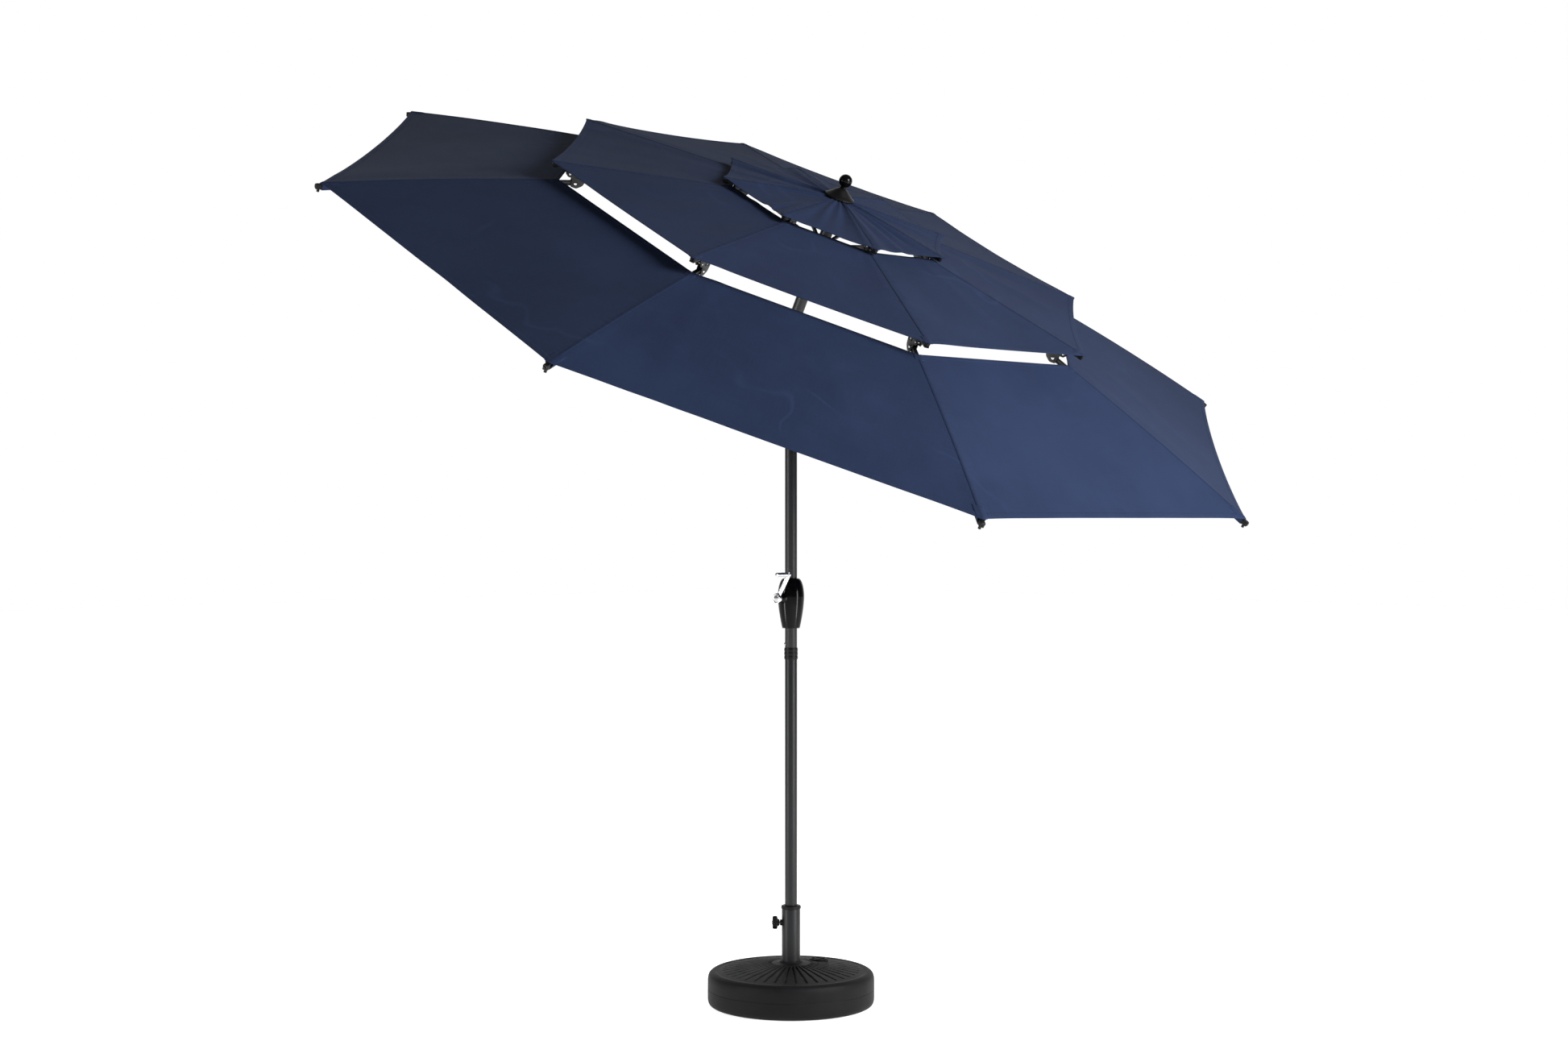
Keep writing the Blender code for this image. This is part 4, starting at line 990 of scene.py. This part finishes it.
class AddHead(bpy.types.Operator):
    """Finial, hub, top pole, pulley and runner"""

    bl_idname = "umbrella.head"
    bl_label = "Canopy head"

    def execute(self, context):
        cone = rounded([(0.0040, 0.0004), (0.0480, 0.0004), (0.0480, 0.0040), (0.0345, 0.0122),
                        (0.0178, 0.0262), (0.0092, 0.0310), (0.0040, 0.0312)], 0.0009, closed=False, steps=4)
        a = np.linspace(0.44, math.pi, 34)
        ball = np.stack([0.0205 * np.sin(a), 0.055 - 0.0205 * np.cos(a)], -1)
        neck = rounded([(0, -0.008), (0.0040, -0.008), (0.0040, 0.030), (0.0092, 0.0315),
                        (0.0100, 0.0345), (0.0086, 0.0368), (0, 0.0368)], 0.0006, closed=False)
        lift = (0, 0, CROWN)
        make_piece("finial_cone", in_canopy(moved(turned(cone, 12), lift)), "plastic", "head", ["finial"],
                   sharp=22)
        top = joined(turned(ball), turned(neck, 40))
        make_piece("finial_ball", in_canopy(moved(top, lift)), "gloss", "head", ["finial"])
        make_piece("top_pole_tube", in_canopy(tube(POLE, POLE - POLE_WALL, 0.027, 0.4305)), "steel",
                   "head", ["top_pole"])
        refined("top_hub", "plastic", "head", 0.0006)
        refined("cord_pulley", "bright", "pulley", 0.0003)
        refined("runner", "plastic", "runner", 0.0008)
        return {"FINISHED"}


# ---------------------------------------------------------------- pole

def fluted(radius, depth, low, high, beads):
    """Profile of a sleeve with round beads on its outside: radius + depth sin(pi beads s)^2."""
    s = np.linspace(0, 1, 14 * beads + 1)
    outside = np.stack([radius + depth * np.sin(math.pi * beads * s) ** 2, low + (high - low) * s], -1)
    return np.concatenate([outside, [(POLE + 0.0004, high), (POLE + 0.0004, low)]])


class AddPole(bpy.types.Operator):
    """Two pole tubes, their ferrule, the snap button and the foot plug"""

    bl_idname = "umbrella.pole"
    bl_label = "Pole"

    def execute(self, context):
        bore = POLE - POLE_WALL
        make_piece("lower_pole_tube", tube(POLE, bore, POLE_FOOT, POLE_JOIN), "steel", "pole",
                   ["lower_pole"])
        spigot = bore - 0.0005
        inside = spigot - POLE_WALL
        outline = rounded([(spigot, SPIGOT_FOOT), (spigot, SPIGOT_SHOULDER), (POLE, SPIGOT_SHOULDER),
                           (POLE, POLE_TOP), (bore, POLE_TOP), (bore, BORE_STEP), (inside, POLE_JOIN),
                           (inside, SPIGOT_FOOT)], 0.0004, steps=3)
        make_piece("middle_pole_tube", turned(outline, closed=True), "steel", "pole", ["middle_pole"])
        make_piece("ferrule_sleeve",
                   turned(fluted(POLE + 0.0016, 0.0007, FERRULE_FOOT, POLE_JOIN, 3), closed=True),
                   "plastic", "pole", ["pole_ferrule"])
        dome = [(0, 0.010), (0.0045, 0.010), (0.0045, 0.0205), (0.0041, 0.0216), (0.0031, 0.0223),
                (0.0016, 0.0226), (0, 0.0227)]
        outwards = (math.cos(SNAP_AZIMUTH), math.sin(SNAP_AZIMUTH), 0)
        button = laid(turned(dome, 32), (0, 0, SNAP_HEIGHT), outwards, (0, 0, 1))
        make_piece("snap_button_dome", button, "bright", "snap", ["snap_button"])
        refined("pole_foot_plug", "plastic", "foot", 0.0006)
        return {"FINISHED"}


class AddTiltJoint(bpy.types.Operator):
    """Both knuckles of the tilt joint, its pin and its push button"""

    bl_idname = "umbrella.tilt_joint"
    bl_label = "Tilt joint"

    def execute(self, context):
        refined("tilt_knuckle_lower", "plastic", "pole", 0.0009)
        refined("tilt_knuckle_upper", "plastic", "head", 0.0009)
        refined("tilt_pin", "bright", "pole", 0.0006)
        refined("tilt_button", "bright", "release_button", 0.0008)
        return {"FINISHED"}


# ---------------------------------------------------------------- crank

CRANK = np.array([0, 0, 1.275])
ARM_FACE = 0.056
LEAN = math.radians(33)
ARM_LENGTH = 0.090


def pear_half(side):
    """Half of the pear-shaped housing, from its neck down to its foot.

    Above the widest ring r = neck + (R - neck) sin t; below it r = foot + (R - foot)(1 - t^1.6).
    """
    widest, neck, foot = 0.0415, POLE + 0.0035, POLE + 0.0087
    low, middle, high = 1.181, 1.279, 1.337
    t = np.linspace(0, math.pi / 2, 26)
    upper = np.stack([neck + (widest - neck) * np.sin(t), middle + (high - middle) * np.cos(t)], -1)
    t = np.linspace(0, 1, 30)[1:]
    lower = np.stack([foot + (widest - foot) * (1 - t ** 1.6), middle + (low - middle) * t], -1)
    outer = np.concatenate([upper, lower])
    inner = outer.copy()
    inner[:, 0] = np.maximum(outer[:, 0] - 0.0025, POLE + 0.0006)
    inner[[0, -2, -1], 0] = POLE + 0.0006
    middle_angle = 0 if side > 0 else math.pi
    a = middle_angle + np.linspace(-math.pi / 2 + 0.008, math.pi / 2 - 0.008, 37)
    outer, inner = (np.stack([g[:, :1] * np.cos(a), g[:, :1] * np.sin(a), g[:, 1:] + 0 * a], -1)
                    for g in (outer, inner))
    return slab(outer, inner)


def towards_hand(shape, place):
    """A shape with its +Z along the crank's axis, away from the pole, and its +X along the arm."""
    return laid(shape, place, (-1, 0, 0), (0, -math.sin(LEAN), math.cos(LEAN)))


def crank_arm_shape():
    """A ringed hub disc and a bar with two grooves between three ridges, ending in a round boss."""
    hub = rounded([(0.0054, 0), (0.0165, 0), (0.0165, 0.0078), (0.0142, 0.0100), (0.0126, 0.0100),
                   (0.0118, 0.0088),
                   (0.0104, 0.0088), (0.0096, 0.0100), (0.0054, 0.0100)], 0.0005, steps=4)
    half = [(0.0072, 0.0006), (0.0072, 0.0054), (0.0036, 0.0060), (0.0030, 0.0046), (0.0020, 0.0046),
            (0.0014, 0.0060)]
    section = rounded(half + [(-y, z) for y, z in half[::-1]], 0.0005, steps=4)
    bar = swept(line_between((0.0125, 0), (ARM_LENGTH, 0), 30), section)
    boss = rounded([(0, 0.0003), (0.0080, 0.0003), (0.0080, 0.0066), (0.0052, 0.0072), (0, 0.0066)],
                   0.0006, closed=False)
    pin = rod(0.0030, 0.002, 0.0526)
    return joined(turned(hub, closed=True), bar, moved(joined(turned(boss), pin), (ARM_LENGTH, 0, 0)))


class AddCrank(bpy.types.Operator):
    """Crank housing, its boss, the crank with its ridged arm, the shaft and the hand grip"""

    bl_idname = "umbrella.crank"
    bl_label = "Crank"

    def execute(self, context):
        make_piece("housing_crank_side", pear_half(-1), "gloss", "pole", ["crank_housing_front"])
        make_piece("housing_far_side", pear_half(1), "gloss", "pole", ["crank_housing_rear"])
        boss = rounded([(0.0062, 0.036), (0.0190, 0.036), (0.0150, 0.0465), (0.0118, 0.0548),
                        (0.0062, 0.0548)], 0.0012, steps=5)
        make_piece("housing_boss", laid(turned(boss, closed=True), CRANK, (-1, 0, 0), (0, 0, 1)), "gloss",
                   "pole", ["crank_housing_front"])
        place = CRANK - (ARM_FACE, 0, 0)
        make_piece("crank_bar", towards_hand(crank_arm_shape(), place), "chrome", "crank", ["crank_arm"])
        refined("crank_shaft", "chrome", "crank", 0.0003)
        grip = rounded([(0.0034, 0.0075), (0.0058, 0.0075), (0.0066, 0.0100), (0.0062, 0.0180),
                        (0.0068, 0.0330),
                        (0.0064, 0.0490), (0.0068, 0.0530), (0.0058, 0.0562), (0, 0.0571), (0, 0.0550),
                        (0.0034, 0.0550)], 0.0012, steps=4)
        shape = moved(turned(grip, closed=True), (ARM_LENGTH, 0, 0))
        make_piece("crank_handle", towards_hand(shape, place), "chrome", "grip", ["crank_grip"])
        return {"FINISHED"}


# ---------------------------------------------------------------- base

def tank_shape():
    """The tank's skin as a polar grid; its crown carries radial grooves.

    The crown is z = 0.106 + 0.027 u + 0.0015 sin(pi u), u from the rim's valley (0) to the collar (1).
    A groove is a round-ended slot; at distance d from its middle line it is as deep as
    groove_depth * sqrt(1 - (2d / groove_width)^2).
    """
    look = bpy.context.scene.umbrella_base
    rim = rounded([(0.0293, 0), (0.2400, 0), (0.2560, 0.0040), (TANK, 0.0160), (TANK, 0.0540),
                   (TANK - 0.0008, 0.0548),
                   (TANK - 0.0008, 0.0560), (TANK, 0.0568), (TANK, 0.0880), (0.2565, 0.1010),
                   (0.2430, 0.1085), (0.2330, 0.1066)],
                  [0, 0.008, 0.008, 0.010, 0.0006, 0.0006, 0.0006, 0.0006, 0.009, 0.008, 0.006, 0],
                  closed=False)
    valley, width = 0.231, 0.186
    r = np.linspace(valley, 0.045, 84)
    u = (valley - r) / width
    crown = np.stack([r, 0.106 + 0.027 * u + 0.0015 * np.sin(math.pi * u)], -1)
    collar = rounded([(0.0445, 0.1331), (0.0370, 0.1345), (0.0352, 0.1385), (0.0293, 0.1385),
                      (0.0293, 0.125), (0.0293, 0.0)], [0, 0.003, 0.0015, 0.0008, 0, 0], closed=False)
    outline = np.concatenate([rim, crown, collar])
    columns = look.grooves * 16
    points, faces = turned(outline, columns, closed=True)
    x, y, z = points.T
    r, a = np.hypot(x, y), np.arctan2(y, x)
    step = 2 * math.pi / look.grooves
    beside = ((a / step) % 1 - 0.5) * step * r
    half = look.groove_width / 2
    groove_from, groove_to = 0.064, 0.212
    beyond = np.maximum(np.maximum(groove_from - r, r - groove_to), 0)
    inside = np.clip(1 - (np.hypot(beside, beyond) / half) ** 2, 0, 1)
    from_fill = np.hypot(x - FILL_PLACE[0], y - FILL_PLACE[1])
    clear = np.clip((from_fill - 0.034) / 0.004, 0, 1)
    top = z > 0.104
    well = np.clip((0.0225 - from_fill) / 0.003, 0, 1)
    z = z - top * look.groove_depth * np.sqrt(inside) * clear - top * 0.014 * well
    return np.stack([x, y, z], -1), faces


def lobed(shape, lobes, depth):
    """Pulls a turned shape in between its lobes: r (1 - depth + depth cos(lobes a))."""
    points, faces = shape
    pull = 1 - depth + depth * np.cos(lobes * np.arctan2(points[:, 1], points[:, 0]))
    return points * np.stack([pull, pull, np.ones_like(pull)], -1), faces


class AddBase(bpy.types.Operator):
    """Tank, fill cap, sleeve, collar, clamp knob and the sand inside"""

    bl_idname = "umbrella.base"
    bl_label = "Base"

    def execute(self, context):
        make_piece("tank_skin", tank_shape(), "pebbled", "base", ["base_tank"], sharp=50)
        ring = rounded([(0.0212, 0.116), (0.0330, 0.116), (0.0328, 0.1262), (0.0312, 0.1282),
                        (0.0285, 0.1284), (0.0212, 0.1272)], 0.0012, steps=5)
        make_piece("fill_ring", moved(turned(ring, closed=True), FILL_PLACE), "pebbled", "base",
                   ["base_tank"])
        lid = rounded([(0, 0.1175), (0.0196, 0.1175), (0.0196, 0.1288), (0.0268, 0.1288),
                       (0.0270, 0.1308), (0.0252, 0.1318),
                       (0.0222, 0.1318), (0.0208, 0.1285), (0.0196, 0.1262), (0, 0.1262)], 0.0009,
                      closed=False, steps=4)
        bar = swept(line_between((-0.0200, 0.1258), (0.0200, 0.1258)),
                    box_section(0.0030, 0, 0.0045, 0.0012))
        make_piece("fill_cap_lid", moved(joined(turned(lid), bar), FILL_PLACE), "plastic", "cap",
                   ["fill_cap"])

        along = np.array([math.cos(KNOB_AZIMUTH), math.sin(KNOB_AZIMUTH), 0])
        seat = np.array([0, 0, KNOB_HEIGHT])
        sleeve = tube(SLEEVE, SLEEVE - 0.002, 0.012, 0.301, 0.0008)
        boss = rounded([(0.0048, 0.0272), (0.0098, 0.0272), (0.0092, 0.0340), (0.0082, 0.0348),
                        (0.0048, 0.0348)], 0.0005)
        boss = laid(turned(boss, 40, closed=True), seat, along, (0, 0, 1))
        make_piece("sleeve_tube", joined(sleeve, boss), "steel", "base", ["base_sleeve"])
        bore, inside = POLE + 0.0009, SLEEVE - 0.0025
        collar = rounded([(0.0308, 0.3015), (0.0308, 0.3092), (0.0278, 0.3115), (bore + 0.0006, 0.3115),
                          (bore, 0.3105),
                          (bore, 0.2855), (inside, 0.2855), (inside, 0.3015)], 0.0008, steps=5)
        make_piece("collar_ring", turned(collar, closed=True), "plastic", "base", ["sleeve_collar"])
        knob = rounded([(0, 0.0360), (0.0085, 0.0360), (0.0125, 0.0420), (0.0200, 0.0438),
                        (0.0205, 0.0470), (0.0203, 0.0550),
                        (0.0178, 0.0578), (0.0085, 0.0584), (0.0070, 0.0566), (0, 0.0566)], 0.0014,
                       closed=False)
        knob = lobed(turned(knob, 96), 6, 0.09)
        make_piece("knob_grip", laid(knob, seat, along, (0, 0, 1)), "plastic", "knob", ["clamp_knob"])
        head = rounded([(0, 0.0560), (0.0058, 0.0560), (0.0056, 0.0590), (0.0040, 0.0606),
                        (0.0020, 0.0608), (0.0018, 0.0592), (0, 0.0590)], 0.0005, closed=False)
        screw = joined(laid(turned(head, 32), seat, along, (0, 0, 1)),
                       laid(rod(0.0040, 0.0200, 0.0380), seat, along, (0, 0, 1)))
        make_piece("knob_screw", screw, "bright", "knob", ["clamp_knob"])
        refined("ballast", "sand", "base", 0.002)
        return {"FINISHED"}


# ---------------------------------------------------------------- stage

FLOOR_HALF = 30
WALL = (0.7016, 0.7126, 0.0)
RIGHT, BACK = np.array([0.7126, -0.7016, 0]), np.array([-0.7016, -0.7126, 0])
AIM, STRIP_AIM = np.array([0, 0, 1.5]), (0, 0, 1.2)
STRIP_SIZE = (0.35, 3.6)
CAMERA_PLACE = (-5.073, -5.122, 1.533)
CAMERA_TURN = (math.radians(89.83), 0, math.radians(-44.55))
CAMERA_LENS, CAMERA_SENSOR = 52.79, 36


def floor_finish():
    """Pale painted floor: faint broad patches and fine grain."""
    mix = Recipe("Pale floor", Specular_IOR_Level=0.1, Emission_Color=(1, 1, 1), Emission_Strength=0.80)
    patch, grain = mix.noise(0.8, 3), mix.noise(260.0, 2)
    base = mix.blend(patch.step(0.3, 0.7), (0.80, 0.80, 0.80), (0.83, 0.83, 0.83))
    return mix.set(Base_Color=base, Roughness=0.75 + patch * 0.1, Normal=mix.bump(grain * 0.0001))


def add_light(name, power, size, place, aim):
    """An area light of (width, height) at `place` that faces `aim`."""
    light = bpy.data.lights.new(name, "AREA")
    light.shape, light.energy, (light.size, light.size_y) = "RECTANGLE", power, size
    made = bpy.data.objects.new(name, light)
    made.location = place
    back = unit(np.subtract(place, aim))
    across = unit(np.cross((0, 0, 1), back))
    turn = np.array([across, np.cross(back, across), back]).T
    made.rotation_euler = Matrix(turn.tolist()).to_euler()
    bpy.context.scene.collection.objects.link(made)
    return made


def white_wall(tree, color):
    """White behind the umbrella and grey elsewhere, by the cosine between a direction and the wall's."""
    place = tree.nodes.new("ShaderNodeTexCoord")
    cosine = tree.nodes.new("ShaderNodeVectorMath")
    cosine.operation = "DOT_PRODUCT"
    cosine.inputs[1].default_value = WALL
    share = tree.nodes.new("ShaderNodeMapRange")
    share.interpolation_type = "SMOOTHSTEP"
    share.inputs["From Min"].default_value, share.inputs["From Max"].default_value = 0.45, 0.86
    share.inputs["To Min"].default_value, share.inputs["To Max"].default_value = 0.12, 1.0
    tree.links.new(place.outputs["Generated"], cosine.inputs[0])
    tree.links.new(cosine.outputs["Value"], share.inputs["Value"])
    tree.links.new(share.outputs["Result"], color)


class SetStage(bpy.types.Operator):
    """Floor, surroundings, lights and camera"""

    bl_idname = "umbrella.stage"
    bl_label = "Stage"

    def execute(self, context):
        look = context.scene.umbrella_stage
        corners = FLOOR_HALF * np.array([[-1, -1, 0], [1, -1, 0], [1, 1, 0], [-1, 1, 0]], float)
        mesh = bpy.data.meshes.new("floor")
        mesh.from_pydata(corners.tolist(), [], [(0, 1, 2, 3)])
        mesh.materials.append(floor_finish())
        floor = bpy.data.objects.new("floor", mesh)
        context.scene.collection.objects.link(floor)
        world = bpy.data.worlds.new("White room")
        world.use_nodes = True
        sky = world.node_tree.nodes["Background"]
        sky.inputs["Strength"].default_value = look.sky
        white_wall(world.node_tree, sky.inputs["Color"])
        context.scene.world = world
        lights = [
            add_light("key", look.key, (2.2, 2.2), RIGHT * 4.2 + BACK * 3.2 + (0, 0, 3.6), AIM),
            add_light("left_strip", look.strip, STRIP_SIZE, -RIGHT * 3.0 + BACK * 1.6 + STRIP_AIM,
                      STRIP_AIM),
            add_light("right_strip", look.strip, STRIP_SIZE, RIGHT * 2.8 + BACK * 1.8 + STRIP_AIM,
                      STRIP_AIM),
        ]
        camera = bpy.data.cameras.new("camera")
        camera.lens, camera.sensor_width, camera.clip_end = CAMERA_LENS, CAMERA_SENSOR, 200
        seen_from = bpy.data.objects.new("camera", camera)
        seen_from.location = CAMERA_PLACE
        seen_from.rotation_euler = CAMERA_TURN
        context.scene.collection.objects.link(seen_from)
        context.scene.camera = seen_from
        context.scene.view_settings.view_transform = "Standard"
        return {"FINISHED"}


# ---------------------------------------------------------------- add-on

PARTS = (AddCloth, AddRibs, AddHead, AddPole, AddTiltJoint, AddCrank, AddBase, SetStage)
GROUPS = {"umbrella_canopy": CanopySizes, "umbrella_metal": MetalSizes, "umbrella_base": BaseSizes,
          "umbrella_stage": StageSizes}


class UmbrellaPanel(bpy.types.Panel):
    """One button for each group of pieces"""

    bl_idname = "VIEW3D_PT_umbrella"
    bl_label = "Patio Umbrella"
    bl_space_type = "VIEW_3D"
    bl_region_type = "UI"
    bl_category = "Umbrella"

    def draw(self, context):
        for part in PARTS:
            self.layout.operator(part.bl_idname)
        for group, sizes in GROUPS.items():
            box = self.layout.box()
            for name in sizes.__annotations__:
                box.prop(getattr(context.scene, group), name)


def register():
    for made in (*GROUPS.values(), *PARTS, UmbrellaPanel):
        bpy.utils.register_class(made)
    for name, sizes in GROUPS.items():
        setattr(bpy.types.Scene, name, PointerProperty(type=sizes))


def unregister():
    for name in GROUPS:
        delattr(bpy.types.Scene, name)
    for made in (UmbrellaPanel, *PARTS[::-1], *list(GROUPS.values())[::-1]):
        bpy.utils.unregister_class(made)


def main():
    register()
    bpy.ops.umbrella.cloth()
    bpy.ops.umbrella.ribs()
    bpy.ops.umbrella.head()
    bpy.ops.umbrella.pole()
    bpy.ops.umbrella.tilt_joint()
    bpy.ops.umbrella.crank()
    bpy.ops.umbrella.base()
    bpy.ops.umbrella.stage()


if __name__ == "__main__":
    main()
